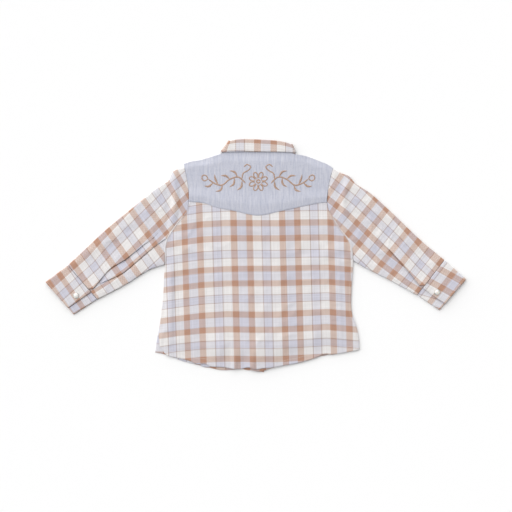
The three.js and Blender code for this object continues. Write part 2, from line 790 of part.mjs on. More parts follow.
/** The collar: it turns over the fold, falls on the back, and ends in two leaves in front. */
function buildCollar() {
  const foldRadius = PLY_STEP / 2;
  const middleRadius = BAND_RADIUS + foldRadius;
  const rows = neckStations(false).map((station) => {
    const { fold, edge, stack } = neckFrame(station);
    const up = fold.clone().sub(edge).normalize();
    const onBack = station.where === 'back';
    const spring = onBack ? COLLAR_SPRING * Math.sin(Math.PI * station.share) : 0;
    const row = [];
    for (let step = 0; step < COLLAR_FOLD_STEPS; step += 1) {
      const turn = Math.PI * (step / COLLAR_FOLD_STEPS);
      row.push(fold.clone()
        .addScaledVector(up, foldRadius * Math.sin(turn))
        .addScaledVector(stack, middleRadius - foldRadius * Math.cos(turn)));
    }
    for (const share of stations(COLLAR_FALL_STEPS)) {
      row.push(fold.clone().lerp(edge, share)
        .addScaledVector(stack, COLLAR_RADIUS)
        .add(at(0, 0, spring * share)));
    }
    row.forEach((point) => { point.z += NECK_MIDDLE_LEVEL; });
    return row;
  });
  return clothWall(rows, WALL);
}

/** The stations round a flattened sleeve: how far across, how far in, and which layer. */
function sleeveRing() {
  const ring = [];
  const roll = (across, up) => {
    for (let index = 0; index <= SLEEVE_ROLL_STEPS; index += 1) {
      const turn = Math.PI * (index / SLEEVE_ROLL_STEPS);
      ring.push({ across, inward: 1 - Math.sin(turn), layer: (1 - up * Math.cos(turn)) / 2 });
    }
  };
  for (let index = 1; index < SLEEVE_UPPER_STEPS; index += 1) {
    ring.push({ across: index / SLEEVE_UPPER_STEPS, inward: 1, layer: 1 });
  }
  roll(1, -1);
  for (let index = SLEEVE_LOWER_STEPS - 1; index > 0; index -= 1) {
    ring.push({ across: index / SLEEVE_LOWER_STEPS, inward: 1, layer: 0 });
  }
  roll(0, 1);
  return ring;
}

/** A sleeve: a flattened tube from the cuff seam to the armhole, open at both ends. */
function buildSleeve(side) {
  const startShare = shareAtY(armhole[side], SLEEVE_TOP_Y[side]);
  const seam = stretch(armhole[side], startShare, 1);
  const upperFold = through([...SLEEVE_UPPER_FOLDS[side], seam(0)]);
  const lowerFold = through([...SLEEVE_LOWER_FOLDS[side], seam(1)]);
  const cuffSeam = (share) => upperFold(0).lerp(lowerFold(0), share);
  const plan = patch({ top: upperFold, low: lowerFold, start: cuffSeam, end: seam });
  const rollRadius = (SLEEVE_TOP_LEVEL - FLOOR_PLY) / 2;
  const rows = stations(SLEEVE_LENGTH_STEPS).map((u) => {
    const width = plan(u, 0).distanceTo(plan(u, 1));
    return sleeveRing().map(({ across, inward, layer }) => {
      const margin = (WALL / 2 + rollRadius * inward) / width;
      const point = plan(u, mix(margin, 1 - margin, across));
      const fromFold = Math.min(across, 1 - across) * width;
      const clearOfFolds = fade(fromFold, 0, rollRadius * SLEEVE_CREASE_MARGIN);
      const creases = creaseHeight(SLEEVE_CREASES[side], point) * clearOfFolds;
      const nearCuff = SLEEVE_CUFF_RISE * fade(u, SLEEVE_CUFF_RISE_END, 0);
      point.z = mix(FLOOR_PLY, SLEEVE_TOP_LEVEL + nearCuff + creases, layer);
      return point;
    });
  });
  return clothWall(rows, WALL, true);
}

/** The section of a snapped cuff: outer layer, lower layer and the end under the lip. */
function cuffSection(width, lip) {
  const section = [];
  const flat = (from, to, count, level) => {
    for (let index = 0; index <= count; index += 1) {
      section.push({ distance: mix(from, to, index / count), level });
    }
  };
  const roll = (edge, sign, fromLevel, toLevel) => {
    const radius = Math.abs(toLevel - fromLevel) / 2;
    for (let index = 1; index < CUFF_ROLL_STEPS; index += 1) {
      const turn = Math.PI * (index / CUFF_ROLL_STEPS);
      section.push({
        distance: edge + sign * (CUFF_WALL / 2 + radius * (1 - Math.sin(turn))),
        level: mix(fromLevel, toLevel, (1 - Math.cos(turn)) / 2),
      });
    }
  };
  const topMargin = (CUFF_WALL + CUFF_UPPER_LEVEL - CUFF_LOWER_LEVEL) / 2;
  const lowMargin = (CUFF_WALL + CUFF_PLY_STEP) / 2;
  const { upper, lower, under } = CUFF_LAYER_STEPS;
  flat(lip, topMargin, upper, CUFF_UPPER_LEVEL);
  roll(0, 1, CUFF_UPPER_LEVEL, CUFF_LOWER_LEVEL);
  flat(topMargin, width - lowMargin, lower, CUFF_LOWER_LEVEL);
  roll(width, -1, CUFF_LOWER_LEVEL, CUFF_UNDER_LEVEL);
  flat(width - lowMargin, lip - CUFF_LAP, under, CUFF_UNDER_LEVEL);
  return section;
}

/** A snapped cuff: a doubled band that goes once round, from its lip to under the lip. */
function buildCuff(side) {
  const corner = CUFFS[side];
  const between = (from, to, share) => pointOf(corner[from]).lerp(pointOf(corner[to]), share);
  const length = pointOf(corner.seamTop).distanceTo(pointOf(corner.handTop));
  const rows = stations(CUFF_LENGTH_STEPS).map((station) => {
    const share = mix(SEAM_GAP / length, 1, station);
    const top = between('seamTop', 'handTop', share);
    const low = between('seamLow', 'handLow', share);
    const lip = between('seamLip', 'handLip', share);
    const across = low.clone().sub(top).normalize();
    return cuffSection(top.distanceTo(low), top.distanceTo(lip)).map(({ distance, level }) => {
      const point = top.clone().addScaledVector(across, distance);
      point.z = level;
      return point;
    });
  });
  return clothWall(rows, CUFF_WALL);
}

/** A snap's cap: a rim round a pearly dome, its flat back at z, above or below the cloth. */
function snap(name, { x, y }, z, pointsUp) {
  const outline = SNAP_PROFILE.map(({ radius, height }) => new THREE.Vector2(radius, height));
  const geometry = new THREE.LatheGeometry(outline, SNAP_SIDES);
  geometry.rotateX(pointsUp ? Math.PI / 2 : -Math.PI / 2);
  const mesh = piece(name, geometry, PEARL);
  mesh.position.set(x, y, z);
  return mesh;
}

const shirt = new THREE.Group();
shirt.add(piece('back_panel', buildBack(), PLAID));
shirt.add(piece('back_yoke', buildYoke(), GAUZE));
shirt.add(piece('collar_band', buildNeckband(), PLAID));
shirt.add(piece('collar', buildCollar(), PLAID));
for (const side of ['left', 'right']) {
  shirt.add(piece(`front_${side}`, buildFront(side), PLAID));
  shirt.add(piece(`sleeve_${side}`, buildSleeve(side), PLAID));
  shirt.add(piece(`cuff_${side}`, buildCuff(side), PLAID));
  const onCuff = CUFF_UPPER_LEVEL + CUFF_WALL / 2 + CLEARANCE;
  shirt.add(snap(`snap_cuff_${side}`, CUFF_SNAPS[side], onCuff, true));
}
shirt.add(snap('snap_neck', { x: 0, y: NECK_SNAP_Y }, SNAP_HEIGHT, false));
for (let index = 0; index < FRONT_SNAPS; index += 1) {
  const place = { x: 0, y: FIRST_FRONT_SNAP_Y - index * FRONT_SNAP_PITCH };
  shirt.add(snap(`snap_front_${index + 1}`, place, SNAP_HEIGHT, false));
}

export default shirt;
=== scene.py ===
"""A child's western snap shirt, laid flat with its back up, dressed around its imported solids.

The neck points along +Y and the wearer's left is -X. Plan sizes and heights are millimetres,
as a pattern cutter writes them, and turn into metres where a mesh is made.
"""

import logging
import math
from dataclasses import dataclass, field, replace
from enum import Enum
from functools import partial
from typing import Callable, Mapping, Sequence

import bmesh
import bpy
import numpy as np
from bpy.types import Material, Mesh, Node, NodeSocket, NodeTree, Object
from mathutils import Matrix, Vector
from mathutils.bvhtree import BVHTree


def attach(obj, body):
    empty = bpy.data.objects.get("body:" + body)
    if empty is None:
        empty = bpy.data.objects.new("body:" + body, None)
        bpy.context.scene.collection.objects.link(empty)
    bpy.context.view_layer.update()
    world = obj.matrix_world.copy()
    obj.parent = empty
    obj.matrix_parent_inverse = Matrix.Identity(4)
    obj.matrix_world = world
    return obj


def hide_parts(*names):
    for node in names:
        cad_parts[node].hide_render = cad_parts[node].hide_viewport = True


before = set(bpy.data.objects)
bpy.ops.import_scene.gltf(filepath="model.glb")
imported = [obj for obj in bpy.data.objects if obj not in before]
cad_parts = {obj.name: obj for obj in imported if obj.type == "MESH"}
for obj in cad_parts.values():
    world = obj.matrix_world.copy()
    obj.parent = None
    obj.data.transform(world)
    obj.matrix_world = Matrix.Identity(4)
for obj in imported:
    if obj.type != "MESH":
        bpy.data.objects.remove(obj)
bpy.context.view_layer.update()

LOG = logging.getLogger("western_snap_shirt")

MM = 0.001
BODY = "root"
CLOTH_MAP = "cloth"

PlanPoint = tuple[float, float]
Grid = np.ndarray
NodeAdder = Callable[..., Node]


class Side(Enum):
    """A side of the wearer, with the sign of its X."""

    LEFT = -1
    RIGHT = 1

    @property
    def word(self) -> str:
        """The side's name as it stands in the names of pieces."""
        return self.name.lower()


LEFT, RIGHT = Side.LEFT, Side.RIGHT


class Face(Enum):
    """The face of a laid piece that a thread lies on, with the sign of its Z."""

    UP = 1
    DOWN = -1


class CreaseKind(Enum):
    """How a crease of the cloth stands: folded over on one side, or soft on both."""

    LAP = "lap"
    SOFT = "soft"


class NeckLine(Enum):
    """A line round the neck: the neck seam, or the collar's fold or free edge."""

    SEAM = "seam"
    FOLD = "fold"
    EDGE = "edge"


class NeckPart(Enum):
    """A part of the way round the neck: in front, turning at its side, or behind."""

    FRONT = "front"
    TURN = "turn"
    BACK = "back"


class Slot(Enum):
    """The record's material slots."""

    PLAID = "plaid_cloth"
    YOKE = "yoke_cloth"
    SNAP = "pearl_snap"


# Layers of the cloth: the solids' own middle heights, and a thinner wall about them
CLOTH_WALL = 0.9
CUFF_WALL = 1.3
SOLID_WALL = 1.2
SOLID_CUFF_WALL = 1.5
CLEARANCE = 0.3
SEAM_GAP = 0.35
EDGE_STATION = 0.4
PLY_STEP = SOLID_WALL + CLEARANCE
FLOOR_PLY = SOLID_WALL / 2
BACK_LEVEL = 3.3
SLEEVE_TOP_LEVEL = 3.3
SLEEVE_CUFF_RISE = 0.55
BAND_RADIUS = 1.05
COLLAR_RADIUS = BAND_RADIUS + PLY_STEP
NECK_MIDDLE_LEVEL = FLOOR_PLY + COLLAR_RADIUS
NECK_LEVEL = NECK_MIDDLE_LEVEL + BAND_RADIUS
NECK_LEVEL_Y = (150.0, 163.0)
CENTRE_RISE = 2.4
CENTRE_FLAT = 20.0
CENTRE_FADE = 130.0
PRESS_WIDTH = 12.0
BACK_UNDERARM_V = 0.5
YOKE_DEPTH = 80.0
YOKE_TUCK = 6.0
YOKE_LAP_HOLD = 9.0
YOKE_LAP_FADE = 32.0
YOKE_SHOULDER_U = (0.3, 0.345)

# Snaps and the lap of the fronts
SNAP_HEIGHT = 1.7
FRONT_SNAPS = 6
FRONT_SNAP_PITCH = 45.0
FIRST_FRONT_SNAP_Y = 112.0
NECK_SNAP_Y = 138.0
CUFF_SNAPS = {LEFT: (-288.8, -63.0), RIGHT: (287.4, -57.6)}
FRONT_LAP = 11.0
SNAP_LIFT = SNAP_HEIGHT + CLEARANCE
FRONT_LIFTS = {LEFT: SNAP_LIFT, RIGHT: SNAP_LIFT + PLY_STEP}
LAP_FLAT = 14.0
LAP_FADE = 48.0
LEAF_LIFT = PLY_STEP
LEAF_LIFT_Y = (76.0, 94.0)
LEAF_LIFT_X = (84.0, 66.0)
SNAPS_END_Y = (-124.0, -160.0)

# Neck: the seam, the collar's fold and its free edge at each side
SEAM, FOLD, EDGE = NeckLine
FRONT_DROPS = {SEAM: 37.0, FOLD: 34.0}
BACK_RISES = {SEAM: 6.0, FOLD: 5.0, EDGE: 1.2}
BAND_FOLD_GAP = 0.9
LEAF_END = 8.0
LEAF_SPREAD = 63.0
COLLAR_POINT = (31.0, 97.0)
COLLAR_SPRING = 0.45
NECK_SIDES = {
    LEFT: {SEAM: (-57.1, 163.7), FOLD: (-43.3, 182.1), EDGE: (-55.9, 165.3)},
    RIGHT: {SEAM: (60.6, 163.0), FOLD: (54.2, 177.0), EDGE: (59.8, 164.8)},
}

# Seams and edges in plan, x and y of each point
ARMHOLES = {
    LEFT: (
        (-117.3, 147.0), (-111.8, 121.6), (-109.2, 100.0), (-109.9, 81.0), (-114.4, 66.5),
        (-124.6, 54.5), (-135.2, 40.0), (-143.2, 26.0), (-146.8, 9.0), (-147.8, -14.4),
    ),
    RIGHT: (
        (121.9, 140.0), (116.6, 121.5), (113.2, 101.0), (112.1, 84.0), (115.6, 69.5),
        (123.6, 55.5), (133.6, 40.5), (144.4, 27.5), (151.8, 12.0), (154.4, -8.0),
    ),
}
YOKE_CORNER_Y = {LEFT: 86.8, RIGHT: 85.4}
YOKE_EDGE = (
    (-83.2, 84.0), (-66.0, 77.8), (-35.8, 71.7), (1.4, 64.6), (35.7, 71.0), (66.0, 77.6),
    (95.7, 83.8),
)
SHOULDERS = {
    LEFT: ((-91.5, 153.1), (-104.8, 151.0)),
    RIGHT: ((78.4, 159.5), (97.1, 152.5), (114.2, 145.4)),
}
SIDES = {
    LEFT: ((-150.4, -70.4), (-154.1, -100.8), (-156.6, -128.8), (-155.6, -143.5)),
    RIGHT: (
        (150.4, -76.8), (152.0, -92.0), (159.6, -115.5), (162.8, -134.1), (163.8, -149.8),
    ),
}
FRONT_SIDES = {
    LEFT: ((-150.4, -70.4), (-154.4, -104.0), (-159.4, -130.0), (-162.9, -154.0)),
    RIGHT: SIDES[RIGHT],
}
BACK_HEM = (
    (-144.6, -158.2), (-126.0, -163.0), (-108.0, -167.4), (-96.0, -172.6), (-84.0, -172.2),
    (-72.0, -176.8), (-56.0, -177.4), (-38.0, -180.2), (-28.0, -180.8), (-13.0, -178.0),
    (-3.0, -181.0), (10.0, -179.4), (20.0, -178.8), (43.5, -175.0), (74.9, -168.6),
    (97.0, -161.4), (108.0, -156.6), (118.0, -157.4), (137.3, -154.8),
)
FRONT_HEMS = {
    LEFT: (
        (-145.0, -158.0), (-126.0, -165.6), (-108.0, -171.2), (-92.0, -174.8), (-84.0, -177.8),
        (-76.0, -178.6), (-62.0, -181.8), (-50.0, -182.6), (-38.0, -181.8), (-26.0, -180.6),
        (-13.0, -182.8), (-4.0, -182.0), (11.0, -185.8),
    ),
    RIGHT: (
        (138.0, -153.4), (118.0, -156.2), (108.0, -159.4), (97.0, -160.8), (75.0, -166.6),
        (43.0, -173.4), (20.0, -180.4), (4.0, -184.8), (-11.0, -182.2),
    ),
}
SLEEVE_TOP_Y = {LEFT: 141.8, RIGHT: 139.2}
SLEEVE_UPPER_FOLDS = {
    LEFT: (
        (-302.0, -14.5), (-273.2, 12.6), (-237.9, 45.4), (-200.6, 75.8), (-168.4, 102.2),
        (-150.6, 115.0), (-141.6, 120.4), (-135.4, 133.6), (-127.2, 139.0),
    ),
    RIGHT: (
        (299.2, -6.2), (262.4, 24.6), (239.1, 46.8), (215.9, 69.1), (180.8, 100.6),
        (157.0, 116.2), (147.6, 127.2), (134.4, 132.6),
    ),
}
SLEEVE_LOWER_FOLDS = {
    LEFT: (
        (-254.8, -68.8), (-236.2, -59.7), (-203.8, -42.1), (-185.0, -29.6), (-168.0, -20.4),
    ),
    RIGHT: (
        (255.4, -62.3), (234.0, -50.7), (212.6, -39.1), (190.8, -28.1), (172.0, -18.6),
    ),
}

# Cuffs: corners of the outer layer, its lip and the folded lower edge
CUFF_CORNERS = {
    LEFT: {
        "seam": {"top": (-302.2, -14.7), "low": (-255.0, -69.0), "lip": (-263.5, -56.3)},
        "hand": {"top": (-337.9, -41.5), "low": (-292.8, -93.4), "lip": (-301.7, -83.1)},
    },
    RIGHT: {
        "seam": {"top": (299.4, -6.4), "low": (255.6, -62.5), "lip": (264.3, -51.0)},
        "hand": {"top": (334.3, -36.7), "low": (291.4, -86.4), "lip": (298.8, -76.9)},
    },
}
CUFF_LAP = 22.0
CUFF_PLY_STEP = SOLID_CUFF_WALL + CLEARANCE
CUFF_LEVELS = tuple(SOLID_CUFF_WALL / 2 + CUFF_PLY_STEP * layer for layer in range(3))


@dataclass(frozen=True)
class Crease:
    """A crease of the cloth along a smooth line through plan points.

    A lap drops sharply on its right-hand side and fades over its width on the other, and a
    soft one fades on both. A negative rise is a trough. A tuck is how far a lap's cloth is
    carried over the cloth beside it, which leaves a narrow open slit beneath its edge.
    """

    kind: CreaseKind
    path: tuple[PlanPoint, ...]
    rise: float
    width: float
    tuck: float = 0.0

    SAMPLES = 20
    DROP = 1.3
    TAPER = 0.22
    HOLLOW = 0.7
    HOLLOW_WIDTH = 4.5
    # Places across a tucked lap, to the right of its line: the end of its turn, and where its
    # edge rises, its hollow begins and its cloth runs on beneath
    TURN = 3.4
    EDGE_RISES = (-2.55, -0.85)
    HOLLOW_BEGINS = (-2.38, -3.4)
    HIDDEN = (-1.02, -2.72)

    def height(self, points: Grid) -> Grid:
        """The height that the crease adds.

        Args:
            points: Plan points, whose last axis holds x and y.

        Returns:
            A height for each point.
        """
        signed, ends, _ = self._place(points)
        if self.kind is CreaseKind.SOFT:
            return self.rise * ends * fade(np.abs(signed), self.width, 0.0)
        if self.tuck == 0:
            body = fade(signed, -self.DROP, self.DROP) * fade(signed, self.width, self.DROP)
            return self.rise * ends * body
        body = fade(signed, *self.EDGE_RISES) * fade(signed, self.width, 0.0)
        hollow = fade(np.abs(signed + self.tuck * ends), self.HOLLOW_WIDTH, 0.0)
        hollow = hollow * fade(signed, *self.HOLLOW_BEGINS)
        return ends * (self.rise * body - self.HOLLOW * hollow)

    def shift(self, points: Grid) -> Grid:
        """How far the tuck carries each plan point over the cloth beside it."""
        signed, ends, right = self._place(points)
        body = fade(signed, -self.TURN, 0.0) * fade(signed, self.width, 0.0)
        return (self.tuck * ends * body)[..., None] * right

    def beneath(self, points: Grid) -> Grid:
        """1 on the cloth that runs on beneath a tucked lap, from plan points before the tuck."""
        return fade(self._place(points)[0], *self.HIDDEN)

    def _place(self, points: Grid) -> tuple[Grid, Grid, Grid]:
        """Where points lie by the crease.

        Args:
            points: Plan points.

        Returns:
            The distance from the line, positive on its left, with room for the tuck; how
            full the crease is there; and the direction to its right.
        """
        distance, side, share, right = self._nearest(points)
        taper = self.TAPER
        ends = fade(share, -taper / 2, taper) * fade(share, 1 + taper / 2, 1 - taper)
        return distance * side - self.tuck * ends, ends, right

    def _nearest(self, points: Grid) -> tuple[Grid, Grid, Grid, Grid]:
        """The distance from the line, its side, the share along it and the way to its right."""
        spots = PlanCurve.through(self.path).at(np.linspace(0.0, 1.0, self.SAMPLES + 1))
        run = np.diff(spots, axis=0)
        away = points[..., None, :2] - spots[:-1]
        along = np.clip((away * run).sum(axis=-1) / (run**2).sum(axis=-1), 0.0, 1.0)
        cross = run[:, 0] * away[..., 1] - run[:, 1] * away[..., 0]
        distance = np.linalg.norm(away - along[..., None] * run, axis=-1)
        nearest = distance.argmin(axis=-1)
        distance, cross, along = (np.take_along_axis(value, nearest[..., None], -1)[..., 0]
                                  for value in (distance, cross, along))
        right = np.stack([run[:, 1], -run[:, 0]], axis=-1) / np.hypot(*run.T)[:, None]
        side = np.where(cross < 0, -1.0, 1.0)
        return distance, side, (nearest + along) / self.SAMPLES, right[nearest]


LAP, SOFT = CreaseKind.LAP, CreaseKind.SOFT
SLEEVE_CREASES = {
    LEFT: (
        Crease(LAP, ((-282, -78), (-262, -52), (-246, -33), (-234, -20), (-214, -8), (-198, 4),
                     (-170, 27)), rise=1.5, width=26, tuck=6.5),
        Crease(LAP, ((-258, -46), (-232, -36), (-214, -27), (-198, -14), (-176, 5), (-160, 18),
                     (-140, 32)), rise=0.9, width=12, tuck=4.5),
        Crease(SOFT, ((-134, 131), (-130, 92), (-136, 46)), rise=2.0, width=9),
        Crease(SOFT, ((-146, 112), (-141, 84), (-146, 50)), rise=-0.5, width=8),
        Crease(SOFT, ((-285, -8), (-240, 26), (-196, 60)), rise=0.9, width=14),
    ),
    RIGHT: (
        Crease(LAP, ((205, 17), (237, -19), (276, -68)), rise=2.3, width=26, tuck=7.5),
        Crease(SOFT, ((146, 122), (138, 92), (140, 62)), rise=1.6, width=9),
        Crease(SOFT, ((160, 100), (202, 60), (250, 16)), rise=0.9, width=15),
        Crease(SOFT, ((160, 22), (192, 1), (226, -26)), rise=-0.5, width=9),
    ),
}
BACK_CREASES = (
    Crease(LAP, ((-134, -150), (-134, -64), (-130, 14)), rise=1.0, width=16),
    Crease(SOFT, ((-140, 24), (-108, 10), (-70, 0)), rise=0.9, width=13),
    Crease(SOFT, ((146, 20), (114, 4), (74, -10)), rise=0.8, width=13),
    Crease(SOFT, ((140, -20), (140, -80), (146, -140)), rise=-0.7, width=9),
    Crease(SOFT, ((-60, -176), (-56, -147), (-58, -112)), rise=1.1, width=15),
    Crease(SOFT, ((2, -180), (4, -156), (0, -126)), rise=0.9, width=13),
    Crease(SOFT, ((-150, -136), (-150, -146), (-147, -156)), rise=-2.2, width=4),
    Crease(SOFT, ((96, -160), (94, -129), (98, -96)), rise=1.0, width=15),
)


def fade(value: Grid | float, none: float, full: float) -> Grid | float:
    """Goes smoothly from 0 at `none` to 1 at `full`, in either direction."""
    share = np.clip((value - none) / (full - none), 0.0, 1.0)
    return share * share * (3 - 2 * share)


def mix(a: Grid | float, b: Grid | float, share: Grid | float) -> Grid | float:
    """The value between a and b at a share of the way."""
    return a + (b - a) * share


class PlanCurve:
    """A curve in plan, read by a share that runs from 0 to 1."""

    SAMPLES = 400
    SPAN_SAMPLES = 40

    def __init__(self, shares: Grid, points: Grid) -> None:
        """Keeps rising shares and the plan point at each."""
        self.shares = np.asarray(shares, float)
        self.points = np.asarray(points, float)

    @classmethod
    def through(cls, rows: Sequence[PlanPoint | Grid]) -> "PlanCurve":
        """A smooth curve through points, read by share of its length.

        Args:
            rows: The plan points in order.

        Returns:
            The centripetal Catmull-Rom curve through them.
        """
        knots = np.array(rows, float)
        knots = np.vstack([2 * knots[0] - knots[1], knots, 2 * knots[-1] - knots[-2]])
        gaps = np.sqrt(np.linalg.norm(np.diff(knots, axis=0), axis=1))
        times = np.concatenate([[0.0], np.cumsum(gaps)])
        spots = []
        for first in range(len(knots) - 3):
            p, t = knots[first:first + 4], times[first:first + 4]
            at = np.linspace(t[1], t[2], cls.SPAN_SAMPLES, endpoint=False)[:, None]
            a = [p[i] + (p[i + 1] - p[i]) * (at - t[i]) / (t[i + 1] - t[i]) for i in range(3)]
            b = [a[i] + (a[i + 1] - a[i]) * (at - t[i]) / (t[i + 2] - t[i]) for i in range(2)]
            spots.append(b[0] + (b[1] - b[0]) * (at - t[1]) / (t[2] - t[1]))
        points = np.vstack([*spots, knots[-2:-1]])
        run = np.linalg.norm(np.diff(points, axis=0), axis=1)
        length = np.concatenate([[0.0], np.cumsum(run)])
        return cls(length / length[-1], points)

    @classmethod
    def of(cls, rule: Callable[[Grid], Grid]) -> "PlanCurve":
        """A curve from a rule that gives a plan point for each share."""
        shares = np.linspace(0.0, 1.0, cls.SAMPLES + 1)
        return cls(shares, rule(shares))

    @classmethod
    def chain(cls, *links: tuple[float, "PlanCurve"]) -> "PlanCurve":
        """Curves end to end; each runs until its own share of the whole."""
        shares, points, start = [], [], 0.0
        for until, curve in links:
            shares.append(mix(start, until, curve.shares))
            points.append(curve.points)
            start = until + 1e-9
        return cls(np.concatenate(shares), np.vstack(points))

    def at(self, share: Grid | float) -> Grid:
        """The plan point at each share."""
        share = np.clip(share, 0.0, 1.0)
        axes = [np.interp(share, self.shares, self.points[:, axis]) for axis in (0, 1)]
        return np.stack(axes, axis=-1)

    def stretch(self, start: float, end: float) -> "PlanCurve":
        """The part of the curve between two shares."""
        return PlanCurve.of(lambda share: self.at(mix(start, end, share)))

    def moved(self, distance: float) -> "PlanCurve":
        """The curve moved sideways, to its left where the distance is positive."""
        run = np.gradient(self.points, axis=0)
        run /= np.linalg.norm(run, axis=1)[:, None]
        left = np.stack([-run[:, 1], run[:, 0]], axis=-1)
        return PlanCurve(self.shares, self.points + left * distance)

    def share_at_y(self, y: float) -> float:
        """The share at which a falling curve reaches the height y."""
        return float(np.interp(-y, -self.points[:, 1], self.shares))

    def length(self) -> float:
        """The curve's length."""
        return float(np.linalg.norm(np.diff(self.points, axis=0), axis=1).sum())


def coons(top: PlanCurve, low: PlanCurve, start: PlanCurve, end: PlanCurve,
          u: Grid, v: Grid) -> Grid:
    """Plan points of a patch between four edges.

    Args:
        top: The edge at v 0, which runs with u.
        low: The edge at v 1, which runs with u.
        start: The edge at u 0, which runs with v.
        end: The edge at u 1, which runs with v.
        u: The stations across.
        v: The stations down.

    Returns:
        An array of rows, columns and x and y.
    """
    across, down = u[None, :, None], v[:, None, None]
    between = top.at(u)[None] * (1 - down) + low.at(u)[None] * down
    along = start.at(v)[:, None] * (1 - across) + end.at(v)[:, None] * across
    corners = (
        top.at(0.0) * (1 - across) * (1 - down) + top.at(1.0) * across * (1 - down)
        + low.at(0.0) * (1 - across) * down + low.at(1.0) * across * down
    )
    return between + along - corners


def stations(length: float, step: float) -> Grid:
    """Rising shares of a length at an even step, with one more near each rounded edge."""
    even = np.linspace(0.0, 1.0, max(2, round(length / step)) + 1)
    return np.sort(np.concatenate([even, [EDGE_STATION / length, 1 - EDGE_STATION / length]]))


class Unevenness:
    """Smooth seeded unevenness over the plan, about -1 to 1."""

    CELLS = 128
    # Creased cloth: how far and over what size it bends, how fine its small creases are, what
    # share of its height they have, and shifts that keep its draws apart
    BEND, BEND_SIZE = 0.6, 1.7
    FINE_SIZE, FINE_SHARE = 0.45, 0.3
    SHIFTS = ((31.0, -17.0), (-53.0, 29.0), (71.0, 5.0))

    def __init__(self, seed: int) -> None:
        """Draws the lattice from the seed."""
        self.lattice = np.random.default_rng(seed).uniform(-1.0, 1.0, (self.CELLS, self.CELLS))

    def at(self, x: Grid, y: Grid, wide: float, tall: float | None = None) -> Grid:
        """The unevenness at points.

        Args:
            x: The points' x.
            y: The points' y.
            wide: The size of a swell along x.
            tall: The size of a swell along y, or None where it is as wide.

        Returns:
            A value for each point.
        """
        column, row = x / wide, y / (tall or wide)
        left, low = np.floor(column).astype(int), np.floor(row).astype(int)
        across, up = fade(column - left, 0.0, 1.0), fade(row - low, 0.0, 1.0)
        cells = self.CELLS
        value = [[self.lattice[(low + j) % cells, (left + i) % cells] for i in (0, 1)]
                 for j in (0, 1)]
        return mix(mix(value[0][0], value[0][1], across), mix(value[1][0], value[1][1], across), up)

    def rumpled(self, x: Grid, y: Grid, size: float) -> Grid:
        """Soft creased unevenness of washed cloth, from 0 to about 1."""
        swells = [size * self.BEND * self.at(x + right, y + up, size * self.BEND_SIZE)
                  for right, up in self.SHIFTS[:2]]
        bend_x, bend_y = x + swells[0], y + swells[1]
        right, up = self.SHIFTS[2]
        broad = 1 - np.abs(self.at(bend_x, bend_y, size))
        fine = 1 - np.abs(self.at(bend_y + right, bend_x + up, size * self.FINE_SIZE))
        return mix(broad**2, fine**2, self.FINE_SHARE)


@dataclass
class ClothGrid:
    """A grid of middle points of a piece of cloth.

    Attributes:
        points: Rows, columns and x, y, z in millimetres.
        cloth: Rows, columns and the two cloth coordinates in millimetres; a tube has a
            column more, which repeats the first one at the other side of its seam.
        wall: The thickness, as one number or a value for each grid point.
        tube: Whether the last column joins the first.
    """

    points: Grid
    cloth: Grid
    wall: Grid | float = CLOTH_WALL
    tube: bool = False

    # How thick the outermost row is, which rounds the edge
    ROUNDED = 0.45

    def normals(self) -> Grid:
        """A unit normal of the middle surface at each grid point."""
        if self.tube:
            across = np.roll(self.points, -1, axis=1) - np.roll(self.points, 1, axis=1)
        else:
            across = np.gradient(self.points, axis=1)
        normal = np.cross(across, np.gradient(self.points, axis=0))
        return normal / np.maximum(np.linalg.norm(normal, axis=-1), 1e-9)[..., None]

    def build(self, name: str) -> Object:
        """A closed thin wall about the grid, with its cloth coordinates as UV map.

        Args:
            name: The piece's name.

        Returns:
            The linked object.
        """
        rows, columns = self.points.shape[:2]
        half = np.broadcast_to(np.asarray(self.wall, float) / 2, (rows, columns)).copy()
        half[[0, -1]] *= self.ROUNDED
        if not self.tube:
            half[:, [0, -1]] *= self.ROUNDED
        offset = self.normals() * half[..., None]
        vertices = np.concatenate([
            (self.points + offset).reshape(-1, 3), (self.points - offset).reshape(-1, 3)
        ]) * MM
        number = np.arange(rows * columns).reshape(rows, columns)
        if self.tube:
            number = np.concatenate([number, number[:, :1]], axis=1)
        place = np.arange(number.size).reshape(number.shape)
        near, far = slice(0, -1), slice(1, None)
        corners = [(near, near), (near, far), (far, far), (far, near)]
        quads, spots = (np.stack([table[c] for c in corners], axis=-1).reshape(-1, 4)
                        for table in (number, place))
        back = rows * columns
        faces = [quads, quads[:, ::-1] + back]
        cloth = [spots, spots[:, ::-1]]
        rims = [(number[0], place[0], 1), (number[-1], place[-1], -1)]
        if not self.tube:
            rims += [(number[:, 0], place[:, 0], -1), (number[:, -1], place[:, -1], 1)]
        for rim, spot, turn in rims:
            a, b, sa, sb = rim[:-1], rim[1:], spot[:-1], spot[1:]
            face = np.stack([a + back, b + back, b, a], axis=-1)
            where = np.stack([sa, sb, sb, sa], axis=-1)
            faces.append(face[:, ::turn])
            cloth.append(where[:, ::turn])
        mesh = bpy.data.meshes.new(name)
        mesh.from_pydata(vertices, [], np.concatenate(faces))
        layer = mesh.uv_layers.new(name=CLOTH_MAP)
        uv = self.cloth.reshape(-1, 2)[np.concatenate(cloth).ravel()] * MM
        layer.uv.foreach_set("vector", uv.astype(np.float32).ravel())
        mesh.shade_smooth()
        return linked(name, mesh)


def linked(name: str, mesh: Mesh) -> Object:
    """An object of the mesh at the origin, linked to the scene."""
    piece = bpy.data.objects.new(name, mesh)
    bpy.context.scene.collection.objects.link(piece)
    return piece


def srgb(code: str) -> tuple[float, float, float, float]:
    """A colour given as sRGB hex, as the linear values that a shader takes."""
    levels = [int(code[place:place + 2], 16) / 255 for place in (1, 3, 5)]
    linear = [v / 12.92 if v <= 0.04045 else ((v + 0.055) / 1.055) ** 2.4 for v in levels]
    return (*linear, 1.0)


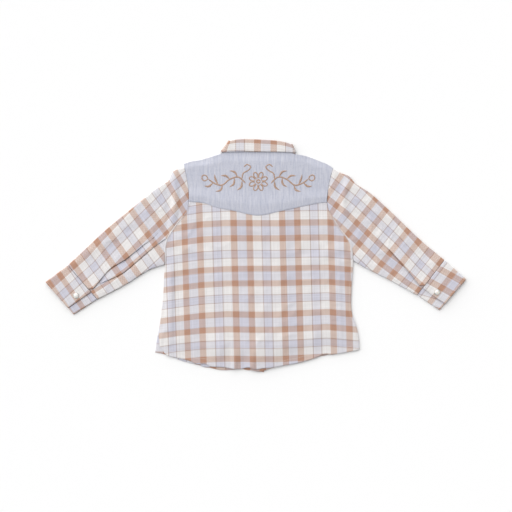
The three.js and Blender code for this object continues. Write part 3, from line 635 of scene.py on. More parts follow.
def add_node(tree: NodeTree, kind: str, settings: Mapping[str, object] | None = None,
             **inputs: object) -> Node:
    """Adds a node with its settings, its input values and its links.

    Args:
        tree: The node tree that gets the node.
        kind: The node's type.
        settings: Values of the node's own properties.
        **inputs: For each input a value, an output socket or a node, of which the first socket
            in use is taken; by name with underscores for spaces, or by place as `at0`, `at1`.

    Returns:
        The node.
    """
    node = tree.nodes.new(kind)
    for key, value in (settings or {}).items():
        setattr(node, key, value)
    for key, value in inputs.items():
        if key[:2] == "at" and key[2:].isdigit():
            socket = node.inputs[int(key[2:])]
        else:
            name = key.replace("_", " ")
            socket = next(entry for entry in node.inputs if entry.enabled and entry.name == name)
        if isinstance(value, Node):
            value = next(result for result in value.outputs if result.enabled)
        if isinstance(value, NodeSocket):
            tree.links.new(value, socket)
        else:
            socket.default_value = value
    return node


# Settings of the nodes that reckon and that blend colours
TIMES = {"operation": "MULTIPLY"}
TIMES_PLUS = {"operation": "MULTIPLY_ADD"}
MIXED = {"data_type": "RGBA", "blend_type": "MIX"}
MULTIPLIED = {"data_type": "RGBA", "blend_type": "MULTIPLY"}
CLOTH_COORDINATES = {"uv_map": CLOTH_MAP}


class Finish:
    """A finish of the shirt: each kind says which inputs its shader has."""

    name: str

    def material(self) -> Material:
        """The finish as a node material."""
        material = bpy.data.materials.new(self.name)
        material.use_nodes = True
        tree = material.node_tree
        tree.nodes.clear()
        add = partial(add_node, tree)
        shader = add("ShaderNodeBsdfPrincipled", **self.surface(add))
        add("ShaderNodeOutputMaterial", Surface=shader)
        return material

    def surface(self, add: NodeAdder) -> dict[str, object]:
        """The inputs of the shader, by name, with the nodes that give them."""
        raise NotImplementedError


@dataclass(frozen=True)
class YarnDyedPlaid(Finish):
    """Soft yarn-dyed cotton plaid, plain woven and brushed.

    Warp and weft show equally, so a stripe is at full strength only where it crosses its own
    colour. The washed cloth scatters light widely and has a faint bloom at grazing angles.
    """

    name: str = "yarn_dyed_plaid"
    cream: str = "#DEDBDA"
    brown: str = "#B18A76"
    blue: str = "#C4C3CE"
    line: str = "#9F8982"
    warp_repeat: float = 77.4
    weft_repeat: float = 73.6
    # Real yarns lie about 0.4 mm apart, too fine to show, so they are drawn coarser
    yarn_pitch: float = 1.9
    yarn_contrast: float = 0.30
    slub: float = 0.13
    slub_pace: float = 0.9
    crinkle_pitch: float = 9.0
    crinkle_share: float = 1.6
    yarn_share: float = 0.35
    relief: float = 0.72
    roughness: float = 0.88
    bloom: float = 0.12

    # Edges of the stripes in one repeat of the sett, from the middle of a blue stripe, and
    # half the width over which one colour turns into the next
    BLUE_END = 0.078
    LINE_END = 0.096
    BROWN_START = 0.272
    BROWN_END = 0.404
    SOFT = 0.003

    def surface(self, add: NodeAdder) -> dict[str, object]:
        """The stripes of both directions where each shows, with slubs and relief."""
        cloth = add("ShaderNodeUVMap", CLOTH_COORDINATES)
        axes = add("ShaderNodeSeparateXYZ", Vector=cloth).outputs[:2]
        warp = self._stripes(add, axes[0], self.warp_repeat)
        weft = self._stripes(add, axes[1], self.weft_repeat)
        over_under = self._weave(add, axes)
        crossing = add("ShaderNodeMix", MIXED, Factor=over_under, A=warp, B=weft)
        product = add("ShaderNodeMix", MULTIPLIED, Factor=1.0, A=warp, B=weft)
        dense = add("ShaderNodeGamma", Color=product, Gamma=0.5)
        colour = add("ShaderNodeMix", MIXED, Factor=0.5, A=crossing, B=dense)
        return dict(
            Base_Color=self._slubs(add, axes, colour), Roughness=self.roughness, IOR=1.5,
            Normal=self._relief(add, cloth, over_under), Sheen_Weight=self.bloom,
            Sheen_Roughness=0.5, Specular_IOR_Level=0.25)

    def _stripes(self, add: NodeAdder, axis: NodeSocket, repeat: float) -> Node:
        """The colours of the yarns across one direction of the cloth."""
        turns = add("ShaderNodeMath", TIMES, at0=axis, at1=1 / (repeat * MM))
        place = add("ShaderNodeMath", {"operation": "FRACT"}, at0=turns)
        ramp = add("ShaderNodeValToRGB", at0=place)
        bands = (
            (0.0, self.blue), (self.BLUE_END, self.line), (self.LINE_END, self.cream),
            (self.BROWN_START, self.brown), (self.BROWN_END, self.blue),
            (1 - self.BROWN_END, self.brown), (1 - self.BROWN_START, self.cream),
            (1 - self.LINE_END, self.line), (1 - self.BLUE_END, self.blue),
        )
        stops = ramp.color_ramp.elements
        stops[0].position, stops[0].color = 0.0, srgb(self.blue)
        stops[1].position, stops[1].color = 1.0, srgb(self.blue)
        for (_, before), (start, after) in zip(bands, bands[1:]):
            stops.new(start - self.SOFT).color = srgb(before)
            stops.new(start + self.SOFT).color = srgb(after)
        return ramp

    def _weave(self, add: NodeAdder, axes: Sequence[NodeSocket]) -> Node:
        """Which yarn lies on top: above a half the weft, below it the warp."""
        swells = []
        for axis in axes:
            turns = add("ShaderNodeMath", TIMES, at0=axis, at1=math.pi / (self.yarn_pitch * MM))
            swells.append(add("ShaderNodeMath", {"operation": "SINE"}, at0=turns))
        product = add("ShaderNodeMath", TIMES, at0=swells[0], at1=swells[1])
        return add("ShaderNodeMath", TIMES_PLUS, at0=product, at1=self.yarn_contrast, at2=0.5)

    def _slubs(self, add: NodeAdder, axes: Sequence[NodeSocket], colour: Node) -> Node:
        """Thicker and thinner yarns, as faint streaks along both directions."""
        for axis in axes:
            yarn = add("ShaderNodeMath", TIMES, at0=axis, at1=1 / (self.yarn_pitch * MM))
            streak = add("ShaderNodeTexNoise", {"noise_dimensions": "1D"}, W=yarn,
                         Scale=self.slub_pace, Detail=2.0)
            shade = add("ShaderNodeMath", TIMES_PLUS, at0=streak, at1=2 * self.slub,
                        at2=1 - self.slub)
            grey = add("ShaderNodeCombineColor", at0=shade, at1=shade, at2=shade)
            colour = add("ShaderNodeMix", MULTIPLIED, Factor=1.0, A=colour, B=grey)
        return colour

    def _relief(self, add: NodeAdder, cloth: Node, over_under: Node) -> Node:
        """The relief of the yarns and of fine washing creases."""
        crinkle = add("ShaderNodeTexNoise", Vector=cloth, Detail=4.0,
                      Scale=1 / (self.crinkle_pitch * MM), Roughness=0.55)
        yarns = add("ShaderNodeMath", TIMES, at0=over_under, at1=self.yarn_share)
        height = add("ShaderNodeMath", TIMES_PLUS, at0=crinkle, at1=self.crinkle_share, at2=yarns)
        return add("ShaderNodeBump", Height=height, Strength=0.55, Distance=self.relief * MM)


@dataclass(frozen=True)
class DoubleGauze(Finish):
    """Cotton double gauze, two loose layers tacked together and washed.

    It shrinks into fine crinkles along the warp, which catch the light as soft streaks. Their
    colour follows the crinkles' height: the hollow colour darkens the troughs as painted shade, and
    the crests keep the paler thread colour.
    """

    name: str = "double_gauze"
    # thread is the crinkles' crest colour; hollow is painted shade in their troughs
    thread: str = "#C5C6D0"
    hollow: str = "#AFB2C1"
    crinkle_pitch: float = 2.4
    crinkle_length: float = 24.0
    grain: float = 2.2
    grain_share: float = 0.35
    relief: float = 0.9
    roughness: float = 0.92

    def surface(self, add: NodeAdder) -> dict[str, object]:
        """Crinkles in the cloth's own coordinates, with painted shade: darker in their hollows,
        paler on their crests.
        """
        cloth = add("ShaderNodeUVMap", CLOTH_COORDINATES)
        scale = (1 / (self.crinkle_pitch * MM), 1 / (self.crinkle_length * MM), 1.0)
        spread = add("ShaderNodeMapping", Vector=cloth, Scale=scale)
        streak = add("ShaderNodeTexNoise", Vector=spread, Scale=1.0, Detail=4.0,
                     Roughness=0.6, Distortion=0.35)
        fine = add("ShaderNodeTexNoise", Vector=cloth, Detail=3.0, Scale=1 / (self.grain * MM))
        height = add("ShaderNodeMath", TIMES_PLUS, at0=fine, at1=self.grain_share, at2=streak)
        # Painted shade: the bump's own height darkens the colour towards the hollow colour
        share = add("ShaderNodeMapRange", Value=height, From_Min=0.45, From_Max=0.85)
        colour = add("ShaderNodeMix", MIXED, Factor=share, A=srgb(self.hollow), B=srgb(self.thread))
        bump = add("ShaderNodeBump", Height=height, Strength=0.6, Distance=self.relief * MM)
        return dict(Base_Color=colour, Normal=bump, Roughness=self.roughness, IOR=1.5,
                    Sheen_Weight=0.15, Sheen_Roughness=0.5, Specular_IOR_Level=0.2)


@dataclass(frozen=True)
class SpunThread(Finish):
    """Twisted sewing or embroidery thread, smooth enough to shine along its turns."""

    name: str
    colour: str
    shade: str
    roughness: float = 0.5
    gloss: float = 0.4
    twist_pitch: float = 0.7
    relief: float = 0.1

    def surface(self, add: NodeAdder) -> dict[str, object]:
        """Mottled colour and relief in the piece's own coordinates."""
        place = add("ShaderNodeTexCoord").outputs["Object"]
        mottle = add("ShaderNodeTexNoise", Vector=place, Detail=2.0,
                     Scale=1 / (self.twist_pitch * MM))
        colour = add("ShaderNodeMix", MIXED, Factor=mottle, A=srgb(self.shade), B=srgb(self.colour))
        bump = add("ShaderNodeBump", Height=mottle, Strength=0.3, Distance=self.relief * MM)
        return dict(Base_Color=colour, Normal=bump, Roughness=self.roughness, IOR=1.5,
                    Specular_IOR_Level=self.gloss, Sheen_Weight=0.1)


@dataclass(frozen=True)
class PearlResin(Finish):
    """Pearlescent polyester resin, cast and polished: milky, with slow silvery swirls."""

    name: str = "pearl_resin"
    light: str = "#F4F1EC"
    deep: str = "#D6D2CE"
    swirl: float = 3.5
    milkiness: float = 1.2

    def surface(self, add: NodeAdder) -> dict[str, object]:
        """Swirls under a clear coat, in the piece's own coordinates."""
        place = add("ShaderNodeTexCoord").outputs["Object"]
        cloud = add("ShaderNodeTexNoise", Vector=place, Detail=2.0, Distortion=2.5,
                    Scale=1 / (self.swirl * MM))
        colour = add("ShaderNodeMix", MIXED, Factor=cloud, A=srgb(self.deep), B=srgb(self.light))
        return dict(Base_Color=colour, Roughness=0.18, IOR=1.56, Coat_Weight=0.6,
                    Coat_Roughness=0.06, Subsurface_Weight=0.15,
                    Subsurface_Scale=self.milkiness * MM)


@dataclass(frozen=True)
class NickelPlate(Finish):
    """Nickel-plated brass, stamped and tumbled: a soft grey shine with fine scratches."""

    name: str = "nickel_plate"
    colour: str = "#C9C7C3"
    scratch: float = 0.5

    def surface(self, add: NodeAdder) -> dict[str, object]:
        """A shine that wear makes uneven, in the piece's own coordinates."""
        place = add("ShaderNodeTexCoord").outputs["Object"]
        wear = add("ShaderNodeTexNoise", Vector=place, Detail=3.0, Scale=1 / (self.scratch * MM))
        rough = add("ShaderNodeMapRange", Value=wear, To_Min=0.2, To_Max=0.42)
        return dict(Base_Color=srgb(self.colour), Metallic=1.0, Roughness=rough)


@dataclass(frozen=True)
class StudioPaper(Finish):
    """Matt white background paper with a faint grain."""

    name: str = "studio_paper"
    colour: str = "#F4F4F4"
    grain: float = 4.0
    relief: float = 0.2

    def surface(self, add: NodeAdder) -> dict[str, object]:
        """Plain white with a faint relief."""
        place = add("ShaderNodeTexCoord").outputs["Object"]
        fibre = add("ShaderNodeTexNoise", Vector=place, Scale=1 / (self.grain * MM))
        bump = add("ShaderNodeBump", Height=fibre, Strength=0.05, Distance=self.relief * MM)
        return dict(Base_Color=srgb(self.colour), Normal=bump, Roughness=0.95,
                    Specular_IOR_Level=0.1)


@dataclass
class Wardrobe:
    """The shirt's finishes, each made once."""

    plaid: Material = field(default_factory=YarnDyedPlaid().material)
    gauze: Material = field(default_factory=DoubleGauze().material)
    sewing: Material = field(
        default_factory=SpunThread("sewing_thread", "#E9E2DA", "#CFC4BA").material)
    yoke_sewing: Material = field(
        default_factory=SpunThread("yoke_sewing_thread", "#C9CCD8", "#B4B8C8").material)
    embroidery: Material = field(default_factory=SpunThread(
        "embroidery_thread", "#C0A18D", "#A5856F", roughness=0.42, gloss=0.6).material)
    pearl: Material = field(default_factory=PearlResin().material)
    nickel: Material = field(default_factory=NickelPlate().material)


@dataclass(frozen=True)
class StripeGuide:
    """Where the stripes of one direction lie, and which place of the sett is at each.

    Attributes:
        places: Rising positions across the stripes, in millimetres.
        turns: The place in the sett at each of them, in repeats.
        repeat: The width of one repeat.
    """

    places: tuple[float, ...]
    turns: tuple[float, ...]
    repeat: float

    def cloth(self, position: Grid) -> Grid:
        """The cloth coordinate at each position, also beyond the ends of the guide."""
        places, turns = np.array(self.places), np.array(self.turns)
        inside = np.interp(position, places, turns)
        before = np.minimum(position - places[0], 0.0)
        after = np.maximum(position - places[-1], 0.0)
        rate = (turns[-1] - turns[0]) / (places[-1] - places[0])
        return (inside + (before + after) * rate) * self.repeat


# Places in the sett, in repeats from the middle of a blue stripe
FIRST_BROWN = 0.338
SECOND_BROWN = 0.656
CREAM = 0.184
WARP_REPEAT = YarnDyedPlaid.warp_repeat
WEFT_REPEAT = YarnDyedPlaid.weft_repeat


def sett_turns(first: int, last: int) -> tuple[float, ...]:
    """The turns of each blue and both browns after it, from one repeat up to another."""
    turns = [n + part for n in range(first, last) for part in (0.0, FIRST_BROWN, SECOND_BROWN)]
    return (*turns, float(last))


BODY_WARP = StripeGuide(
    (-138.9, -115.0, -91.0, -63.2, -36.0, -11.5, 15.0, 41.6, 64.8, 92.6, 118.6, 143.7, 170.0),
    sett_turns(-2, 2), WARP_REPEAT)
BODY_WEFT = StripeGuide(
    (-78.4, -53.1, -29.3, -2.7, 20.3, 43.7, 68.8, 94.2, 118.1, 142.4, 165.1, 190.0, 216.0),
    sett_turns(-1, 3), WEFT_REPEAT)
BODY_DRIFT = 0.027
BODY_DRIFT_Y = 9.6
BODY_SAG_X = (-156, -128, -88, -48, -8, 32, 72, 112, 160)
BODY_SAG = {
    37: (14.0, 8.7, 2.7, 0.5, 0.8, 0.9, -0.3, -0.6, 3.8),
    -22: (12.0, 7.6, 2.7, 0.2, -0.5, -0.4, -1.6, -2.2, 2.2),
    -86: (11.0, 6.8, 1.4, -1.4, -0.5, -0.7, -3.0, -5.0, -0.6),
    -139: (9.0, 4.4, 0.2, -1.6, -1.0, -0.8, -2.8, -5.2, -0.8),
}


def body_sag(x: Grid, y: Grid) -> Grid:
    """How far the back's rows hang below straight ones, between the measured heights."""
    heights = list(BODY_SAG)
    rows = np.stack([np.interp(x, BODY_SAG_X, BODY_SAG[height]) for height in heights])
    place = np.interp(-y, [-height for height in heights], range(len(heights)))
    above = np.minimum(place.astype(int), len(heights) - 2)
    upper, lower = (np.take_along_axis(rows, above[None] + step, axis=0)[0] for step in (0, 1))
    return mix(upper, lower, place - above)


def body_cloth(points: Grid, relaxed: bool = True) -> Grid:
    """Cloth coordinates of the body's plaid.

    Args:
        points: Plan points.
        relaxed: Whether the rows sag towards the sides, as they do on the back.

    Returns:
        The two cloth coordinates of each point.
    """
    x, y = points[..., 0], points[..., 1]
    drift = BODY_DRIFT * (BODY_DRIFT_Y - y)
    sag = body_sag(x, y) if relaxed else 0.0
    return np.stack([BODY_WARP.cloth(x - drift), BODY_WEFT.cloth(-(y + sag))], axis=-1)


@dataclass(frozen=True)
class SleeveGrain:
    """How the plaid lies on a sleeve, in a frame along it.

    Attributes:
        centre: The plan point of the frame's origin.
        along: The unit vector along the sleeve.
        down: The unit vector across it, towards the underarm.
        bands: The stripes that cross the sleeve, read along it.
        lengths: The stripes that run along it, read down from the middle blue one.
        middle: By places along: how far down the middle blue stripe lies, how far the stripes
            above it are spread, and how much cloth the lap hides.
        slant: How far the crossing stripes lean back for each millimetre down.
        head_start: How far along the turned cloth of the sleeve's head begins.
        head_slant: How far they lean back there besides.
    """

    centre: PlanPoint
    along: PlanPoint
    down: PlanPoint
    bands: StripeGuide
    lengths: StripeGuide
    middle: Mapping[str, tuple[float, ...]]
    slant: float
    head_start: float
    head_slant: float

    # Where the head's cloth is wholly turned, as a share of where its turn begins
    TURNED = 1.08

    def cloth(self, points: Grid, beneath: Grid | float = 0.0) -> Grid:
        """The two cloth coordinates of plan points on the upper layer.

        Args:
            points: The plan points.
            beneath: 1 on the cloth that runs on beneath the sleeve's lap.

        Returns:
            The coordinates across the lengthwise and across the crossing stripes.
        """
        away = points[..., :2] - np.array(self.centre)
        run, fall = away @ np.array(self.along), away @ np.array(self.down)
        fall = fall + beneath * np.interp(run, self.middle["along"], self.middle["hidden"])
        fall = fall - np.interp(run, self.middle["along"], self.middle["down"])
        spread = np.interp(run, self.middle["along"], self.middle["spread"])
        head = fade(run, self.head_start, self.head_start * self.TURNED)
        slant = self.slant + self.head_slant * head
        lengthwise = self.lengths.cloth(np.where(fall < 0, fall / spread, fall))
        return np.stack([lengthwise, self.bands.cloth(run + slant * fall)], axis=-1)


SLEEVE_GRAINS = {
    LEFT: SleeveGrain(
        centre=(-227.2, 33.6), along=(0.7547, 0.6561), down=(0.6561, -0.7547),
        bands=StripeGuide(
            (-132.8, -107.2, -83.2, -57.6, -31.2, -6.4, 19.2, 43.2, 68.8, 92.8, 116.8, 136.0,
             158.0), sett_turns(-2, 2), WEFT_REPEAT),
        lengths=StripeGuide(
            (-72.0, -33.0, -21.9, 0.0, 27.2, 45.0, 48.0, 64.0, 72.0),
            (-0.86, -0.4, SECOND_BROWN - 1, 0.0, FIRST_BROWN, SECOND_BROWN, 0.75, 0.89, 1.0),
            WARP_REPEAT),
        middle={"along": (-128, -56, -19, 21, 56, 96, 116),
                "down": (16.8, 16.5, 11.8, 9.0, 7.4, 5.5, 3.0),
                "spread": (1.0, 1.0, 1.0, 1.05, 1.15, 1.2, 1.2),
                "hidden": (22.0, 10.2, 2.8, 0.0, 0.0, 0.0, 0.0)},
        slant=0.11, head_start=90.0, head_slant=0.11,
    ),
    RIGHT: SleeveGrain(
        centre=(228.8, 33.6), along=(0.788, -0.6157), down=(-0.6157, -0.788),
        bands=StripeGuide(
            (-156.0, -131.2, -112.0, -89.6, -66.4, -43.2, -18.4, 4.8, 28.8, 54.4, 77.6, 100.8,
             126.0), sett_turns(-2, 2), WEFT_REPEAT),
        lengths=StripeGuide(
            (-70.0, -33.0, -20.8, 0.0, 24.8, 45.6, 70.4),
            (-0.86, -0.4, SECOND_BROWN - 1, 0.0, FIRST_BROWN, SECOND_BROWN, 1.0), WARP_REPEAT),
        middle={"along": (-90, -50, 0, 54, 130), "down": (1.2, 4.6, 8.8, 16.8, 22.0),
                "spread": (1.25, 1.2, 1.04, 1.0, 1.0),
                "hidden": (0.0, 0.0, 0.0, 9.5, 22.0)},
        slant=0.0, head_start=-92.0, head_slant=-0.08,
    ),
}
CUFF_GRAINS = {
    LEFT: replace(
        SLEEVE_GRAINS[LEFT],
        bands=StripeGuide((-132.0, -111.0, -88.0), (FIRST_BROWN, SECOND_BROWN, 1.0),
                          WEFT_REPEAT)),
    RIGHT: replace(
        SLEEVE_GRAINS[RIGHT],
        bands=StripeGuide((80.0, 104.0, 125.0), (0.0, FIRST_BROWN, SECOND_BROWN), WEFT_REPEAT),
        lengths=StripeGuide((-24.8, 1.4, 25.8, 52.0), sett_turns(0, 1), WARP_REPEAT),
        middle={"along": (80, 130), "down": (3.4, -4.6), "spread": (1.0, 1.0),
                "hidden": (0.0, 0.0)}),
}


def raised(points: Grid, height: Grid) -> Grid:
    """Plan points with a height at each."""
    return np.concatenate([points, height[..., None]], axis=-1)


def crease_heights(creases: Sequence[Crease], points: Grid) -> Grid:
    """The height that a list of creases adds at each point."""
    return sum(crease.height(points) for crease in creases)


def tuck_shifts(creases: Sequence[Crease], points: Grid) -> Grid:
    """How far the tucks of a list of creases carry each plan point."""
    return sum(crease.shift(points) for crease in creases if crease.tuck > 0)


def near_centre(x: Grid, flat: float, none: float) -> Grid:
    """1 near the centre line, fading to 0 at `none` from it."""
    return fade(np.abs(x), none, flat)


def front_level(points: Grid, lift: Grid | float) -> Grid:
    """The middle height of a front over its snaps and the collar's leaves."""
    x, y = points[..., 0], points[..., 1]
    leaf = LEAF_LIFT * fade(y, *LEAF_LIFT_Y) * fade(np.abs(x), *LEAF_LIFT_X)
    lift = lift - SNAP_LIFT * fade(y, *SNAPS_END_Y)
    return FLOOR_PLY + np.maximum(lift * near_centre(x, LAP_FLAT, LAP_FADE), leaf)


def back_level(points: Grid) -> Grid:
    """The middle height of the back's cloth before its creases."""
    body = BACK_LEVEL + CENTRE_RISE * near_centre(points[..., 0], CENTRE_FLAT, CENTRE_FADE)
    return mix(body, NECK_LEVEL, fade(points[..., 1], *NECK_LEVEL_Y))


def pressed_level(points: Grid) -> Grid:
    """The height just above the fronts, where a seam or the hem lies down on them."""
    on_lap = fade(points[..., 0], -LAP_FADE / 2, -FRONT_LAP - CLEARANCE)
    lift = mix(FRONT_LIFTS[LEFT], FRONT_LIFTS[RIGHT], on_lap)
    return front_level(points, lift) + PLY_STEP


ARMHOLE = {side: PlanCurve.through(rows) for side, rows in ARMHOLES.items()}
BODY_ARMHOLE = {side: ARMHOLE[side].moved(-side.value * SEAM_GAP) for side in Side}
SIDE_SEAM = {side: PlanCurve.through([BODY_ARMHOLE[side].at(1.0), *SIDES[side]]) for side in Side}
BACK_HEMLINE = PlanCurve.through([SIDES[LEFT][-1], *BACK_HEM, SIDES[RIGHT][-1]])
FRONT_HEMLINE = {side: PlanCurve.through([FRONT_SIDES[side][-1], *FRONT_HEMS[side]])
                 for side in Side}


def yoke_corner(side: Side, above: float = 0.0) -> float:
    """The share of an armhole at the yoke's corner, or so far above it."""
    return ARMHOLE[side].share_at_y(YOKE_CORNER_Y[side] + above)


def neck_point(side: Side, line: NeckLine) -> Grid:
    """The plan point of a line of the neck at one side."""
    return np.array(NECK_SIDES[side][line])


def back_line(line: NeckLine, share: Grid | float) -> Grid:
    """A line of the back neck, bowed upwards by its own rise."""
    share = np.asarray(share, float)
    point = mix(neck_point(LEFT, line), neck_point(RIGHT, line), share[..., None])
    point[..., 1] += BACK_RISES[line] * (1 - (2 * share - 1) ** 4)
    return point


def front_line(line: NeckLine, share: Grid | float) -> Grid:
    """A line of the front neck: half an oval that hangs between the sides of the neck."""
    share = np.asarray(share, float)
    left, right = neck_point(LEFT, line), neck_point(RIGHT, line)
    swing = np.pi * share
    point = mix(left, right, ((1 - np.cos(swing)) / 2)[..., None])
    point[..., 0] -= (left[0] + right[0]) / 2 * np.sin(swing)
    point[..., 1] -= FRONT_DROPS[line] * np.sin(swing)
    return point


FRONT_NECK = PlanCurve.of(lambda share: front_line(SEAM, share))
BACK_NECK = PlanCurve.of(lambda share: back_line(SEAM, share))
BELOW_SEAM = np.array([0.0, -SEAM_GAP])


def front_reach(side: Side, x: float) -> float:
    """The share of the front neck that lies between a side of the neck and x."""
    share = float(np.interp(x, FRONT_NECK.points[:, 0], FRONT_NECK.shares))
    return share if side is LEFT else 1 - share


@dataclass
class Tailor:
    """Lays and dresses the shirt's pieces."""

    wardrobe: Wardrobe

    def lay(self, name: str, grid: ClothGrid, slot: Slot, node: str) -> Object:
        """Args:
            name: The piece's name.
            grid: Its middle surface.
            slot: The record's slot of its cloth.
            node: The solid that it stands for.

        Returns:
            The finished piece.
        """
        piece = grid.build(name)
        self.dress(piece, self.wardrobe.gauze if slot is Slot.YOKE else self.wardrobe.plaid, slot)
        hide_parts(node)
        return piece

    def dress(self, piece: Object, material: Material, slot: Slot) -> None:
        """Gives a piece its finish and lets it ride on the shirt."""
        piece.data.materials.clear()
        piece.data.materials.append(material)
        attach(piece, BODY)


@dataclass
class BackYoke:
    """The double gauze back yoke, from the shoulders and neck to its pointed lower edge."""

    step: float = 1.15
    width: float = 240.0
    edge_droop: float = 0.75
    edge_width: float = 14.0
    edge_wall: float = 0.45
    edge_taper: float = 2.5

    # Crinkles: how high, how closely set and how long they are; how far and over what sizes
    # they wander; how much of them is left at the sewn edges, and within what distance
    crinkle_height: float = 0.2
    crinkle_pitch: float = 2.9
    crinkle_length: float = 24.0
    crinkle_middle: float = 0.4
    wander: float = 3.0
    wander_size: tuple[float, float] = (22.0, 30.0)
    sewn_crinkle: float = 0.35
    sewn_width: float = 5.0

    # Where they turn to run across the shoulders: between two heights, lower further out, and
    # between two distances from the centre
    turn_y: tuple[float, float] = (128.0, 152.0)
    turn_slope: float = 0.25
    turn_x: tuple[float, float] = (40.0, 70.0)
    turned_shift: float = 9.0

    def build(self, tailor: Tailor) -> Object:
        """Lays the yoke."""
        corner = {side: yoke_corner(side) for side in Side}
        left, right = BODY_ARMHOLE[LEFT], BODY_ARMHOLE[RIGHT]
        shoulder_left = PlanCurve.through(
            [left.at(0.0), *SHOULDERS[LEFT][::-1], neck_point(LEFT, SEAM) + BELOW_SEAM])
        shoulder_right = PlanCurve.through(
            [neck_point(RIGHT, SEAM) + BELOW_SEAM, *SHOULDERS[RIGHT], right.at(0.0)])
        neck = PlanCurve.of(lambda share: BACK_NECK.at(share) + BELOW_SEAM)
        u, v = stations(self.width, self.step), stations(YOKE_DEPTH, self.step)
        points = coons(
            PlanCurve.chain((1 / 3, shoulder_left), (2 / 3, neck), (1.0, shoulder_right)),
            PlanCurve.through([left.at(corner[LEFT]), *YOKE_EDGE, right.at(corner[RIGHT])]),
            left.stretch(0.0, corner[LEFT]), right.stretch(0.0, corner[RIGHT]), u, v)
        height = self._level(points, u[None, :], v[:, None])
        at_edge = fade((1 - v[:, None]) * YOKE_DEPTH, self.edge_taper, 0.0)
        wall = mix(CLOTH_WALL, self.edge_wall, at_edge * np.ones(len(u)))
        grid = ClothGrid(raised(points, height), points.copy(), wall)
        return tailor.lay("yoke_back", grid, Slot.YOKE, "back_yoke")

    def _level(self, points: Grid, u: Grid, v: Grid) -> Grid:
        """The middle height, lapped over the back panel and pressed along the shoulders."""
        lapped = PLY_STEP * fade((1 - v) * YOKE_DEPTH, YOKE_LAP_FADE, YOKE_LAP_HOLD)
        near, far = YOKE_SHOULDER_U
        on_shoulder = np.maximum(fade(u, far, near), fade(u, 1 - far, 1 - near))
        pressed = on_shoulder * fade(v * YOKE_DEPTH, PRESS_WIDTH, 0.0)
        edge = np.minimum(np.minimum(u, 1 - u) * self.width, np.minimum(v, 1 - v) * YOKE_DEPTH)
        free = fade(edge, 0.0, self.sewn_width)
        rise = self._crinkles(points) * mix(self.sewn_crinkle, 1.0, free)
        droop = self.edge_droop * fade((1 - v) * YOKE_DEPTH, self.edge_width, 0.0)
        return mix(back_level(points) + lapped, pressed_level(points), pressed) + rise - droop

    def _crinkles(self, points: Grid) -> Grid:
        """Crinkles down the middle of the yoke, and across its shoulders."""
        x, y = points[..., 0], points[..., 1]
        size = (self.crinkle_pitch, self.crinkle_length)
        uneven = Unevenness(11)
        wander = self.wander * uneven.at(x, y, *self.wander_size)
        down = 1 - np.abs(uneven.at(x + wander, y, *size))
        across = 1 - np.abs(uneven.at(y + wander, x + self.turned_shift, *size))
        turned = fade(y + self.turn_slope * np.abs(x), *self.turn_y)
        turned = turned * fade(np.abs(x), *self.turn_x)
        return self.crinkle_height * (mix(down, across, turned) - self.crinkle_middle)


